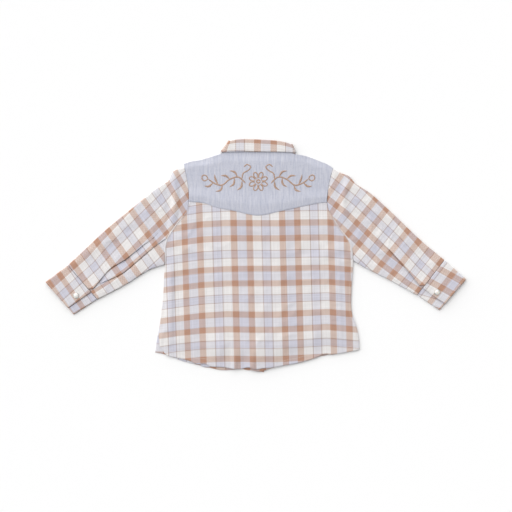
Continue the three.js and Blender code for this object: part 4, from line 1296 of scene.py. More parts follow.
@dataclass
class BackPanel:
    """The plaid back below the yoke, with its armholes, side seams and curved hem."""

    step: float = 2.1
    length: float = 265.0
    rumple_height: float = 0.95
    rumple_size: float = 24.0

    # The felled ridge along the armholes: its size, how far it reaches over the seam, where
    # that reach begins and ends along the armhole, and where the ridge does down the panel
    ridge_height: float = 0.9
    ridge_width: float = 2.4
    ridge_reach: float = 1.3
    reach_starts: tuple[float, float] = (0.12, 0.24)
    reach_ends: tuple[float, float] = (0.86, 0.74)
    ridge_starts: tuple[float, float] = (0.02, 0.06)
    ridge_ends: float = 0.05
    # The ridges' painted highlight, the sett's cream: from which share down it starts, how far
    # short of the underarm it stops, and how much of the stripes' spread is left in it
    highlight_from: float = 0.15
    highlight_margin: float = 0.01
    highlight_spread: float = 0.05

    # The hem's and the side seams' pressed strips, and gaps where the hem lifts off the fronts
    seam_presses: float = 0.06
    yoke_clear: float = 0.12
    hem_press: float = 0.9
    hem_width: tuple[float, float] = (34.0, 4.0)
    hem_gaps: tuple[float, ...] = (-36.0, -8.0)
    gap_width: tuple[float, float] = (7.0, 1.5)
    gap_lift: float = 0.5

    def build(self, tailor: Tailor) -> Object:
        """Lays the back panel."""
        start = {side: yoke_corner(side, YOKE_TUCK) for side in Side}
        tops = {side: BODY_ARMHOLE[side].at(start[side]) for side in Side}
        tucked = [(x, y + YOKE_TUCK) for x, y in YOKE_EDGE]
        width = BODY_ARMHOLE[RIGHT].at(1.0)[0] - BODY_ARMHOLE[LEFT].at(1.0)[0]
        u, v = stations(width, self.step), stations(self.length, self.step)
        points = coons(PlanCurve.through([tops[LEFT], *tucked, tops[RIGHT]]), BACK_HEMLINE,
                       self._edge(LEFT, start[LEFT]), self._edge(RIGHT, start[RIGHT]), u, v)
        height = self._level(points, u[None, :], v[:, None], width)
        grid = ClothGrid(raised(points, height), self._paint_ridge_highlight(body_cloth(points), u, v, width))
        return tailor.lay("back_panel_cloth", grid, Slot.PLAID, "back_panel")

    def _edge(self, side: Side, start: float) -> PlanCurve:
        """The armhole, where a topstitched ridge laps the sleeve, and the side seam."""
        plain = BODY_ARMHOLE[side].stretch(start, 1.0)
        ridge = ARMHOLE[side].moved(side.value * self.ridge_reach).stretch(start, 1.0)
        armhole = PlanCurve.of(lambda share: mix(
            plain.at(share), ridge.at(share),
            (fade(share, *self.reach_starts) * fade(share, *self.reach_ends))[:, None]))
        return PlanCurve.chain((BACK_UNDERARM_V, armhole), (1.0, SIDE_SEAM[side]))

    def _level(self, points: Grid, u: Grid, v: Grid, width: float) -> Grid:
        """The middle height: plain level, creases, rumples and the pressed seams."""
        inward = np.minimum(u, 1 - u) * width
        below_arm = fade(v, BACK_UNDERARM_V - self.seam_presses, BACK_UNDERARM_V)
        pressed = below_arm * fade(inward, PRESS_WIDTH, 0.0)
        rumple = self.rumple_height * Unevenness(23).rumpled(
            points[..., 0], points[..., 1], self.rumple_size)
        rise = (crease_heights(BACK_CREASES, points) + rumple) * fade(inward, 0.0, PRESS_WIDTH)
        ridge = self.ridge_height * fade(inward, self.ridge_width, self.ridge_width / 2)
        ridge = (ridge * fade(v, *self.ridge_starts)
                 * fade(v, BACK_UNDERARM_V, BACK_UNDERARM_V - self.ridge_ends))
        gaps = sum(fade(np.abs(points[..., 0] - x), *self.gap_width) for x in self.hem_gaps)
        hem = self.hem_press * fade((1 - v) * self.length, *self.hem_width)
        hem = hem * (1 - self.gap_lift * gaps)
        return mix(back_level(points) + rise * fade(v, 0.0, self.yoke_clear),
                   pressed_level(points), np.maximum(pressed, hem)) + ridge

    def _paint_ridge_highlight(self, cloth: Grid, u: Grid, v: Grid, width: float) -> Grid:
        """Cloth coordinates, with the sett's cream along the armholes' felled ridges as a painted
        highlight.
        """
        felled = (v > self.highlight_from) & (v < BACK_UNDERARM_V - self.highlight_margin)
        repeats = np.array([WARP_REPEAT, WEFT_REPEAT])
        for inward in (u * width, (1 - u) * width):
            # Painted highlight: the strip on each ridge is moved onto the sett's cream
            strip = np.ix_(felled, inward < self.ridge_width / 2)
            mean = cloth[strip].mean(axis=(0, 1))
            cream = (np.round(mean / repeats) + CREAM) * repeats
            cloth[strip] = cream + (cloth[strip] - mean) * self.highlight_spread
        return cloth


@dataclass
class Front:
    """One plaid front, which rests on the floor and laps the other at the centre."""

    side: Side
    step: float = 2.8
    width: float = 150.0
    length: float = 330.0
    rumple_height: float = 0.35
    rumple_size: float = 24.0
    rumple_starts: tuple[float, float] = (2.0, 22.0)
    neck_share: float = 8 / 28
    off_match: PlanPoint = (15.0, 8.0)

    def build(self, tailor: Tailor) -> Object:
        """Lays the front."""
        side = self.side
        armhole = BODY_ARMHOLE[side]
        lap_x = -side.value * FRONT_LAP
        reach_end = front_reach(side, lap_x)
        neck = PlanCurve.of(lambda share: self._neck(share * reach_end))
        top, low = neck.at(1.0)[1], FRONT_HEMS[side][-1][1]
        lap = PlanCurve.of(lambda share: np.stack(
            [np.full_like(share, lap_x), mix(top, low, share)], axis=-1))
        seam = PlanCurve.through([armhole.at(1.0), *FRONT_SIDES[side]])
        u, v = stations(self.width, self.step), stations(self.length, self.step)
        points = coons(
            PlanCurve.through([armhole.at(0.0), *SHOULDERS[side][::-1], neck.at(0.0)]),
            FRONT_HEMLINE[side], PlanCurve.chain((0.5, armhole), (1.0, seam)),
            PlanCurve.chain((self.neck_share, neck), (1.0, lap)), u, v)
        inward = np.minimum(u[None, :], 1 - u[None, :]) * self.width
        edge = np.minimum(inward, np.minimum(v, 1 - v)[:, None] * self.length)
        rumple = self.rumple_height * Unevenness(37 + side.value).rumpled(
            points[..., 0], points[..., 1], self.rumple_size)
        height = front_level(points, FRONT_LIFTS[side]) + rumple * fade(edge, *self.rumple_starts)
        cloth = body_cloth(points - np.array(self.off_match), relaxed=False)
        return tailor.lay(f"front_{side.word}_cloth", ClothGrid(raised(points, height), cloth),
                          Slot.PLAID, f"front_{side.word}")

    def _neck(self, reach: Grid) -> Grid:
        """The front neck from this side, a seam's gap below the band."""
        return FRONT_NECK.at(reach if self.side is LEFT else 1 - reach) + BELOW_SEAM


@dataclass
class Sleeve:
    """A sleeve as a flattened tube, from the cuff seam to the armhole."""

    side: Side
    step: float = 1.25
    width: float = 90.0
    plan_steps: int = 120
    roll_steps: int = 8
    fold_width: float = 0.7
    rumple_height: float = 0.75
    rumple_size: float = 19.0
    # How much of its rumples the lower layer has, how far from the ends they start, how many
    # radii from the folds they are full, and the share of the length that rises to the cuff
    lower_rumple: float = 0.6
    end_fade: float = 8.0
    clear_radii: float = 4.0
    cuff_rise_share: float = 0.12

    def build(self, tailor: Tailor) -> Object:
        """Lays the sleeve."""
        side = self.side
        armhole = ARMHOLE[side]
        seam = armhole.stretch(armhole.share_at_y(SLEEVE_TOP_Y[side]), 1.0)
        upper = PlanCurve.through([*SLEEVE_UPPER_FOLDS[side], seam.at(0.0)])
        lower = PlanCurve.through([*SLEEVE_LOWER_FOLDS[side], seam.at(1.0)])
        cuff = PlanCurve.of(lambda share: mix(upper.at(0.0), lower.at(0.0), share[:, None]))
        u = stations(upper.length(), self.step)
        across, inward, layer = self._ring()
        edges = coons(upper, lower, cuff, seam, u, np.array([0.0, 1.0]))
        widths = np.linalg.norm(edges[1] - edges[0], axis=-1)
        dense = np.linspace(0.0, 1.0, self.plan_steps + 1)
        plan = coons(upper, lower, cuff, seam, u, dense)
        margin = (SOLID_WALL / 2 + self.fold_width * inward[None, :]) / widths[:, None]
        v = mix(margin, 1 - margin, across[None, :])
        points = np.stack([
            np.stack([np.interp(v[row], dense, plan[:, row, axis]) for axis in (0, 1)], axis=-1)
            for row in range(len(u))])
        radius = (SLEEVE_TOP_LEVEL - FLOOR_PLY) / 2
        clear = fade(np.minimum(across, 1 - across)[None, :] * widths[:, None], 0.0,
                     radius * self.clear_radii)
        near_ends = fade(np.minimum(u, 1 - u)[:, None] * upper.length(), 0.0, self.end_fade)
        rumple = self.rumple_height * Unevenness(61 + side.value).rumpled(
            points[..., 0], points[..., 1], self.rumple_size) * near_ends
        creases = (crease_heights(SLEEVE_CREASES[side], points) + rumple) * clear
        top = (SLEEVE_TOP_LEVEL + creases
               + SLEEVE_CUFF_RISE * fade(u, self.cuff_rise_share, 0.0)[:, None])
        height = mix(FLOOR_PLY + self.lower_rumple * rumple * clear, top, layer[None, :])
        held = clear * near_ends * layer[None, :]
        beneath = SLEEVE_CREASES[side][0].beneath(points)
        points = points + tuck_shifts(SLEEVE_CREASES[side], points) * held[..., None]
        cloth = self._cloth(points, plan, beneath)
        return tailor.lay(f"sleeve_{side.word}_cloth",
                          ClothGrid(raised(points, height), cloth, tube=True), Slot.PLAID,
                          f"sleeve_{side.word}")

    def _ring(self) -> tuple[Grid, Grid, Grid]:
        """The stations round the tube, from the underarm fold along the lower layer.

        Returns:
            How far across each station is, how far in from the folds, and its layer from
            0 below to 1 above.
        """
        flat = np.linspace(0.0, 1.0, round(self.width / self.step) + 1)[1:-1]
        turns = np.pi * np.linspace(0.0, 1.0, self.roll_steps + 1)
        half = self.roll_steps // 2
        rise = (1 - np.cos(turns)) / 2
        roll_in = 1 - np.sin(turns)
        across = np.concatenate([
            np.ones(half + 1), flat[::-1], np.zeros(self.roll_steps + 1), flat, np.ones(half)])
        inward = np.concatenate([
            roll_in[:half + 1][::-1], np.ones(len(flat)), roll_in, np.ones(len(flat)),
            roll_in[half + 1:][::-1]])
        layer = np.concatenate([
            rise[:half + 1][::-1], np.zeros(len(flat)), rise, np.ones(len(flat)),
            rise[half + 1:][::-1]])
        return across, inward, layer

    def _cloth(self, points: Grid, plan: Grid, beneath: Grid) -> Grid:
        """Cloth coordinates round the tube; below, they go on from the upper fold."""
        grain = SLEEVE_GRAINS[self.side]
        above = grain.cloth(points, beneath)
        fold = grain.cloth(plan[0])[:, None, :]
        below = np.stack([2 * fold[..., 0] - above[..., 0], above[..., 1]], axis=-1)
        count = points.shape[1]
        on_top = np.arange(count) >= count // 2
        cloth = np.where(on_top[None, :, None], above, below)
        return np.concatenate([cloth, above[:, -1:]], axis=1)


@dataclass
class Cuff:
    """A snapped cuff: a doubled band that goes once round, from its lip to under it."""

    side: Side
    step: float = 1.6
    roll_steps: int = 8
    layer_steps: tuple[int, int, int] = (34, 40, 20)
    ease: float = 1.13

    def build(self, tailor: Tailor) -> Object:
        """Lays the cuff."""
        seam, hand = CUFF_CORNERS[self.side]["seam"], CUFF_CORNERS[self.side]["hand"]
        length = math.dist(seam["top"], hand["top"])
        shares = mix(SEAM_GAP / length, 1.0, stations(length, self.step))
        rows, cloth = [], []
        for share in shares:
            corner = {kind: mix(np.array(seam[kind]), np.array(hand[kind]), share)
                      for kind in ("top", "low", "lip")}
            across = corner["low"] - corner["top"]
            width = float(np.linalg.norm(across))
            across /= width
            lip = float(np.linalg.norm(corner["lip"] - corner["top"]))
            distance, level = self._section(width, lip)
            plan = corner["top"] + distance[:, None] * across
            rows.append(np.column_stack([plan, level]))
            cloth.append(self._cloth(plan, distance))
        grid = ClothGrid(np.array(rows), np.array(cloth), wall=CUFF_WALL)
        word = self.side.word
        return tailor.lay(f"cuff_{word}_cloth", grid, Slot.PLAID, f"cuff_{word}")

    def _section(self, width: float, lip: float) -> tuple[Grid, Grid]:
        """The section round the cuff.

        Args:
            width: The width of the flattened cuff.
            lip: How far from the top fold the outer lip lies.

        Returns:
            The distance from the top fold and the height of each station.
        """
        lower, under, upper = CUFF_LEVELS
        top_margin = (SOLID_CUFF_WALL + upper - lower) / 2
        low_margin = (SOLID_CUFF_WALL + CUFF_PLY_STEP) / 2
        distance, level = [], []

        def flat(start: float, end: float, height: float, count: int) -> None:
            """Adds a flat layer of so many steps."""
            spots = np.linspace(start, end, count + 1)
            distance.extend(spots)
            level.extend(np.full(len(spots), height))

        def roll(edge: float, sign: float, start: float, end: float) -> None:
            """Adds a rolled fold at an edge."""
            turns = np.pi * np.arange(1, self.roll_steps) / self.roll_steps
            radius = abs(end - start) / 2
            distance.extend(edge + sign * (SOLID_CUFF_WALL / 2 + radius * (1 - np.sin(turns))))
            level.extend(mix(start, end, (1 - np.cos(turns)) / 2))

        outer, inner, tucked = self.layer_steps
        flat(lip, top_margin, upper, outer)
        roll(0.0, 1.0, upper, lower)
        flat(top_margin, width - low_margin, lower, inner)
        roll(width, -1.0, lower, under)
        flat(width - low_margin, lip - CUFF_LAP, under, tucked)
        return np.array(distance), np.array(level)

    def _cloth(self, plan: Grid, distance: Grid) -> Grid:
        """Cloth coordinates, which run on round the cuff and bring blue to its underlap."""
        above = CUFF_GRAINS[self.side].cloth(plan)
        run = np.concatenate([[0.0], np.cumsum(np.abs(np.diff(distance)))])
        last = int(np.argmin(distance))
        outer = np.arange(len(distance)) <= last
        lengthwise = np.where(outer, above[:, 0], above[last, 0] - (run - run[last]) * self.ease)
        return np.stack([lengthwise, above[:, 1]], axis=-1)


@dataclass(frozen=True)
class NeckStation:
    """A station round the neck.

    Attributes:
        part: The part of the way round that it is on.
        side: The wearer's side.
        at: Its place there: the share of the back from the wearer's left, the angle of the
            turn, or the reach in front, 0 at the neck's side and 1 at the leaf's end.
    """

    part: NeckPart
    side: Side
    at: float

    def frame(self) -> tuple[Grid, Grid, Grid, Grid]:
        """Where the seam, the fold and the edge lie, and which way the layers stack."""
        if self.part is NeckPart.BACK:
            return (*(back_line(line, self.at) for line in NeckLine), np.array([0.0, 0.0, 1.0]))
        seam, fold, edge = (neck_point(self.side, line) for line in NeckLine)
        sign = self.side.value
        if self.part is NeckPart.TURN:
            run = (fold - edge) / np.linalg.norm(fold - edge)
            outward = np.array([sign * run[1], -sign * run[0]]) * math.cos(self.at)
            return seam, fold, edge, np.array([*outward, math.sin(self.at)])
        reach = self.at * front_reach(self.side, sign * LEAF_END)
        share = reach if self.side is LEFT else 1 - reach
        t = min(self.at, 1.0)
        spread = np.array([sign * LEAF_SPREAD, (edge[1] + COLLAR_POINT[1]) / 2])
        tip = np.array([sign * COLLAR_POINT[0], COLLAR_POINT[1]])
        leaf = (1 - t) ** 2 * edge + 2 * t * (1 - t) * spread + t**2 * tip
        return (front_line(SEAM, share), front_line(FOLD, share), leaf, np.array([0.0, 0.0, -1.0]))


@dataclass
class Neck:
    """The neckband and the collar that turns over it, as one flattened ring."""

    front_steps: int = 34
    band_end_steps: int = 10
    back_steps: int = 60
    roll_steps: int = 12
    fold_steps: int = 6
    fall_steps: int = 12
    band_steps: int = 10
    leaf_length: float = 95.0
    side_draw: float = 0.5
    side_share: float = 0.08
    collar_thickness: float = 1.15

    def build(self, tailor: Tailor) -> Object:
        """Lays the band and then the collar, which it returns."""
        tailor.lay("neckband_cloth", self._band(), Slot.PLAID, "collar_band")
        return tailor.lay("collar_cloth", self._collar(), Slot.PLAID, "collar")

    def _stations(self, with_band_ends: bool) -> list[NeckStation]:
        """The stations round the neck.

        Args:
            with_band_ends: Whether the band's ends, beyond the collar's, are taken in.

        Returns:
            The stations, from the wearer's left front end to the right one.
        """
        def front(side: Side) -> list[NeckStation]:
            """The front stations of one side, outwards from the neck's side."""
            reaches = list(np.arange(1, self.front_steps + 1) / self.front_steps)
            if with_band_ends:
                ends = front_reach(side, -side.value * FRONT_LAP)
                last = ends / front_reach(side, side.value * LEAF_END)
                reaches += list(np.linspace(1.0, last, self.band_end_steps + 1)[1:])
            return [NeckStation(NeckPart.FRONT, side, reach) for reach in reaches]

        def turn(side: Side) -> list[NeckStation]:
            """The stations that turn at one side of the neck, from front to back."""
            angles = np.pi * (np.arange(self.roll_steps + 1) / self.roll_steps - 0.5)
            return [NeckStation(NeckPart.TURN, side, angle) for angle in angles]

        back = [NeckStation(NeckPart.BACK, LEFT if share < 0.5 else RIGHT, share)
                for share in np.arange(1, self.back_steps) / self.back_steps]
        return [*front(LEFT)[::-1], *turn(LEFT), *back, *turn(RIGHT)[::-1], *front(RIGHT)]

    def _band(self) -> ClothGrid:
        """The neckband, from the neck seam up to just under the collar's fold."""
        rows, cloth, run = [], [], 0.0
        for station in self._stations(True):
            seam, fold, _, stack = station.frame()
            height = float(np.linalg.norm(fold - seam))
            shares = np.linspace(0.0, 1 - BAND_FOLD_GAP / height, self.band_steps + 1)
            plan = seam + (fold - seam) * shares[:, None]
            if station.part is NeckPart.FRONT:
                row = raised(plan, front_level(plan, FRONT_LIFTS[station.side]))
            else:
                row = raised(plan, np.full(len(plan), NECK_MIDDLE_LEVEL)) + stack * BAND_RADIUS
            run += float(np.linalg.norm(row[0] - rows[-1][0])) if rows else 0.0
            rows.append(row)
            cloth.append(np.column_stack([np.full(len(plan), run), shares * height]))
        return ClothGrid(np.array(rows), np.array(cloth))

    def _collar(self) -> ClothGrid:
        """The collar: it turns over the fold, falls on the back, and ends in two leaves."""
        fold_radius = PLY_STEP / 2
        middle_radius = BAND_RADIUS + fold_radius
        turns = np.pi * np.arange(self.fold_steps) / self.fold_steps
        shares = np.linspace(0.0, 1.0, self.fall_steps + 1)
        rows, cloth = [], []
        for station in self._stations(False):
            _, fold, edge, stack = station.frame()
            depth = float(np.linalg.norm(fold - edge))
            up = np.array([*(fold - edge) / depth, 0.0])
            on_back = station.part is NeckPart.BACK
            spring = COLLAR_SPRING * math.sin(math.pi * station.at) if on_back else 0.0
            over = (np.array([*fold, 0.0]) + up * (fold_radius * np.sin(turns))[:, None]
                    + stack * (middle_radius - fold_radius * np.cos(turns))[:, None])
            plan = fold + (edge - fold) * shares[:, None]
            fall = raised(plan, spring * shares) + stack * COLLAR_RADIUS
            row = np.vstack([over, fall])
            row[:, 2] += NECK_MIDDLE_LEVEL
            rows.append(row)
            down = np.concatenate([-fold_radius * (np.pi - turns), shares * depth])
            across = np.concatenate([np.full(self.fold_steps, fold[0]), plan[:, 0]])
            cloth.append(self._collar_cloth(station, across, down))
        return ClothGrid(np.array(rows), np.array(cloth), CLOTH_WALL * self.collar_thickness)

    def _collar_cloth(self, station: NeckStation, x: Grid, down: Grid) -> Grid:
        """Cloth coordinates of a station.

        Args:
            station: The station.
            x: The x of each point, from the band to the free edge.
            down: How far down from the fold each lies.

        Returns:
            The coordinates: by x on the back, drawn to the edge's x where the cloth turns at
            the neck's side, and on along the leaf in front.
        """
        edge_x = float(neck_point(station.side, EDGE)[0])
        if station.part is NeckPart.FRONT:
            start = COLLAR_STRIPES.cloth(np.array(edge_x))
            leaf = start + station.side.value * station.at * self.leaf_length
            along = np.full(len(down), leaf)
        else:
            if station.part is NeckPart.BACK:
                near_side = fade(min(station.at, 1 - station.at), self.side_share, 0.0)
                drawn = self.side_draw * near_side
            else:
                drawn = mix(self.side_draw, 1.0, fade(station.at, math.pi / 2, 0.0))
            along = COLLAR_STRIPES.cloth(mix(x, edge_x, drawn))
        return np.column_stack([along, COLLAR_FOLD_V + down])


COLLAR_STRIPES = StripeGuide((-80.0, -27.2, 0.8, 26.4, 52.0, 79.0),
                             (-0.662, 0.0, FIRST_BROWN, SECOND_BROWN, 1.0, 1.338), WARP_REPEAT)
COLLAR_FOLD_V = SECOND_BROWN * WEFT_REPEAT


@dataclass(frozen=True)
class ThreadLine:
    """A line of sewing or embroidery in plan, with the width of the thread across it."""

    points: Grid
    widths: Grid

    # Satin: the distance between a line's points, its least width and its ends
    PITCH = 0.8
    LEAST = 0.3
    LEAF_ROUNDNESS = 0.7
    BLUNT_END = (-0.02, 0.06)

    @classmethod
    def sewn(cls, curve: PlanCurve, width: float = 0.5) -> "ThreadLine":
        """A line of machine stitches along a curve."""
        count = max(2, round(curve.length()))
        points = curve.at(np.linspace(0.0, 1.0, count + 1))
        return cls(points, np.full(len(points), width))

    @classmethod
    def satin(cls, rows: Sequence[PlanPoint], width: float, pointed: bool = False) -> "ThreadLine":
        """A satin line through points, as wide all along or, as a leaf, pointed at its ends."""
        curve = PlanCurve.through(rows)
        share = np.linspace(0.0, 1.0, max(8, round(curve.length() / cls.PITCH)) + 1)
        if pointed:
            swell = np.sin(np.pi * share) ** cls.LEAF_ROUNDNESS
        else:
            swell = fade(np.minimum(share, 1 - share), *cls.BLUNT_END)
        return cls(curve.at(share), np.maximum(width * swell, cls.LEAST))


class Cloth:
    """The faces of a laid piece, on which needlework is draped."""

    HIGH = 0.1

    def __init__(self, piece: Object) -> None:
        """Reads the piece's mesh."""
        mesh = piece.data
        spots = np.empty(len(mesh.vertices) * 3, np.float32)
        mesh.vertices.foreach_get("co", spots)
        corners = np.empty(len(mesh.loops), np.int32)
        mesh.loops.foreach_get("vertex_index", corners)
        self.name = piece.name
        self.faces = BVHTree.FromPolygons(spots.reshape(-1, 3).tolist(),
                                          corners.reshape(-1, 4).tolist())

    def drape(self, points: Grid, face: Face, sink: float) -> Grid:
        """Plan points set on a face of the cloth.

        Args:
            points: The plan points.
            face: The face that they are set on.
            sink: How deep below it they are set.

        Returns:
            The points with their heights; one beyond the cloth takes its neighbour's height.
        """
        heights, last = [], math.nan
        for x, y in points:
            start = Vector((x * MM, y * MM, face.value * self.HIGH))
            spot = self.faces.ray_cast(start, Vector((0.0, 0.0, -face.value)))[0]
            last = last if spot is None else spot.z / MM - face.value * sink
            heights.append(last)
        heights = np.array(heights)
        known = np.flatnonzero(~np.isnan(heights))
        if len(known) == 0:
            raise ValueError(f"a line of needlework misses {self.name}")
        heights = np.interp(np.arange(len(heights)), known, heights[known])
        return np.column_stack([points, heights])


class Needle:
    """Sews lines of thread on a laid piece, by a geometry node tree made once for each stitch.

    Each line becomes a curve, points are set along it at the stitch's pitch, and a small
    spindle lies at each point: along the line in sewing, across it in satin embroidery.
    """

    SPINDLE_SIDES = 6
    SPINDLE_RINGS = 4
    WIDTH = "width"

    def __init__(self, name: str, pitch: float, length: float, thick: float, across: bool,
                 sink: float) -> None:
        """Makes the stitch's node tree.

        Args:
            name: The tree's name.
            pitch: The distance between stitches.
            length: How far each stitch reaches along the line.
            thick: How far each stands off the cloth.
            across: Whether the threads lie across the line.
            sink: How deep the thread's middle lies below the cloth's face.
        """
        self.sizes = {"Pitch": pitch * MM, "Length": length * MM, "Thick": thick * MM}
        self.sink = sink
        self.tree = bpy.data.node_groups.new(name, "GeometryNodeTree")
        sockets = self.tree.interface
        sockets.new_socket("Lines", in_out="INPUT", socket_type="NodeSocketGeometry")
        for size in self.sizes:
            sockets.new_socket(size, in_out="INPUT", socket_type="NodeSocketFloat")
        sockets.new_socket("Thread", in_out="INPUT", socket_type="NodeSocketMaterial")
        sockets.new_socket("Work", in_out="OUTPUT", socket_type="NodeSocketGeometry")
        self._wire(across)

    def _wire(self, across: bool) -> None:
        """Fills the tree with its nodes."""
        add = partial(add_node, self.tree)
        given = add("NodeGroupInput").outputs
        curve = add("GeometryNodeMeshToCurve", at0=given["Lines"])
        spaced = add("GeometryNodeResampleCurve", {"mode": "LENGTH"}, Curve=curve,
                     Length=given["Pitch"])
        width = add("GeometryNodeInputNamedAttribute", {"data_type": "FLOAT"}, Name=self.WIDTH)
        size = add("ShaderNodeCombineXYZ", X=given["Length"], Y=width, Z=given["Thick"])
        tangent = add("GeometryNodeInputTangent")
        turn = add("FunctionNodeAlignRotationToVector",
                   {"axis": "X", "pivot_axis": "Z"}, Vector=tangent)
        spindle = add("GeometryNodeMeshUVSphere", Segments=self.SPINDLE_SIDES,
                      Rings=self.SPINDLE_RINGS, Radius=0.5)
        poles = (math.pi / 2, 0.0, 0.0) if across else (0.0, math.pi / 2, 0.0)
        laid = add("GeometryNodeTransform", Geometry=spindle, Rotation=poles)
        stitches = add("GeometryNodeInstanceOnPoints", Points=spaced, Instance=laid,
                       Rotation=turn, Scale=size)
        real = add("GeometryNodeRealizeInstances", Geometry=stitches)
        smooth = add("GeometryNodeSetShadeSmooth", Geometry=real)
        dyed = add("GeometryNodeSetMaterial", Geometry=smooth, Material=given["Thread"])
        add("NodeGroupOutput", Work=dyed)

    def sew(self, name: str, cloth: Cloth, lines: Sequence[ThreadLine], face: Face,
            thread: Material) -> Object:
        """Sews lines on a face of a piece.

        Args:
            name: The name of the needlework.
            cloth: The laid piece.
            lines: Its lines in plan.
            face: The face that they show on.
            thread: The thread's finish.

        Returns:
            The needlework as a plain mesh.
        """
        spots, edges, widths = [], [], []
        for line in lines:
            placed = cloth.drape(line.points, face, self.sink)
            first = len(spots)
            spots.extend(placed * MM)
            widths.extend(line.widths * MM)
            edges.extend((first + step, first + step + 1) for step in range(len(placed) - 1))
        mesh = bpy.data.meshes.new(name)
        mesh.from_pydata(spots, edges, [])
        mesh.attributes.new(self.WIDTH, "FLOAT", "POINT").data.foreach_set("value", widths)
        work = linked(name, mesh)
        stitch = work.modifiers.new("stitch", "NODES")
        stitch.node_group = self.tree
        values = {**self.sizes, "Thread": thread}
        for socket in self.tree.interface.items_tree:
            if socket.name in values:
                stitch[socket.identifier] = values[socket.name]
        seen = work.evaluated_get(bpy.context.evaluated_depsgraph_get())
        work.data = bpy.data.meshes.new_from_object(seen)
        work.modifiers.clear()
        work.data.name = name
        return work


class Sewing:
    """The topstitched seams, hems and edges of the shirt."""

    YOKE_INSET = 2.2
    HEM_INSET = 8.0
    SIDE_INSET = 3.2
    ARMHOLE_INSET = 1.9
    CUFF_INSET = 2.4
    COLLAR_INSET = 3.6
    PLACKET = (8.0, -15.0)
    PLACKET_TOP = 14.0
    # The shares of each line between which it is sewn
    HEM_ROW = (0.012, 0.988)
    FRONT_HEM_ROW = (0.03, 0.97)
    SIDE_ROW = (0.02, 0.93)
    YOKE_ROW = (0.01, 0.99)
    CUFF_ROW = (0.06, 0.94)
    COLLAR_ROW = (0.04, 0.96)
    ARMHOLE_START, ARMHOLE_END = 0.02, 0.985

    def __init__(self, tailor: Tailor) -> None:
        """Makes the stitch."""
        self.tailor = tailor
        self.needle = Needle("lockstitch", pitch=2.5, length=2.1, thick=0.42, across=False,
                             sink=-0.02)

    def sew(self, name: str, piece: Object, curves: Sequence[PlanCurve],
            face: Face = Face.UP, slot: Slot = Slot.PLAID) -> None:
        """Sews curves on a piece, in a thread of the cloth's colour, and reports them."""
        wardrobe = self.tailor.wardrobe
        thread = wardrobe.yoke_sewing if slot is Slot.YOKE else wardrobe.sewing
        lines = [ThreadLine.sewn(curve) for curve in curves]
        work = self.needle.sew(name, Cloth(piece), lines, face, thread)
        self.tailor.dress(work, thread, slot)
        LOG.info("%s: %d lines, %d faces", name, len(lines), len(work.data.polygons))

    def back(self, panel: Object, yoke: Object) -> None:
        """The back's hem, sides and armholes, and the yoke's lower edge."""
        curves = [BACK_HEMLINE.moved(self.HEM_INSET).stretch(*self.HEM_ROW)]
        for side in Side:
            inward = -side.value
            curves.append(SIDE_SEAM[side].moved(inward * self.SIDE_INSET).stretch(*self.SIDE_ROW))
            armhole = ARMHOLE[side].moved(inward * self.ARMHOLE_INSET)
            start = yoke_corner(side) + self.ARMHOLE_START
            curves.append(armhole.stretch(start, self.ARMHOLE_END))
        self.sew("stitches_back", panel, curves)
        ends = {side: BODY_ARMHOLE[side].at(yoke_corner(side)) for side in Side}
        edge = PlanCurve.through([ends[LEFT], *YOKE_EDGE, ends[RIGHT]])
        self.sew("stitches_yoke", yoke, [edge.moved(self.YOKE_INSET).stretch(*self.YOKE_ROW)],
                 slot=Slot.YOKE)

    def front(self, side: Side, panel: Object) -> None:
        """A front's hem and, on the outer one, its placket, which show from below."""
        curves = [FRONT_HEMLINE[side].moved(-side.value * self.HEM_INSET)
                  .stretch(*self.FRONT_HEM_ROW)]
        if side is LEFT:
            top = NECK_SNAP_Y - self.PLACKET_TOP
            low = FRONT_HEMS[side][-1][1] + self.HEM_INSET
            curves += [PlanCurve.through([(x, top), (x, (top + low) / 2), (x, low)])
                       for x in self.PLACKET]
        self.sew(f"stitches_front_{side.word}", panel, curves, Face.DOWN)

    def cuff(self, side: Side, cuff: Object) -> None:
        """Rows along a cuff's seam, its hand end and its lip."""
        seam, hand = ({kind: np.array(spot) for kind, spot in CUFF_CORNERS[side][end].items()}
                      for end in ("seam", "hand"))
        inset = self.CUFF_INSET / math.dist(seam["top"], hand["top"])
        start, end = self.CUFF_ROW

        def spot(along: float, across: float) -> Grid:
            """The point at a share from seam to hand and from the top fold to the lip."""
            return mix(mix(seam["top"], seam["lip"], across),
                       mix(hand["top"], hand["lip"], across), along)

        curves = [PlanCurve.through([spot(share, across) for across in (start, 0.5, end)])
                  for share in (inset, 1 - inset)]
        curves.append(PlanCurve.through([spot(share, end) for share in (inset, 0.5, 1 - inset)]))
        self.sew(f"stitches_cuff_{side.word}", cuff, curves)

    def collar(self, collar: Object) -> None:
        """A row along the collar's free edge on the back of the neck."""
        edge = PlanCurve.of(lambda share: back_line(EDGE, mix(*self.COLLAR_ROW, share))
                            + np.array([0.0, self.COLLAR_INSET]))
        self.sew("stitches_collar", collar, [edge])


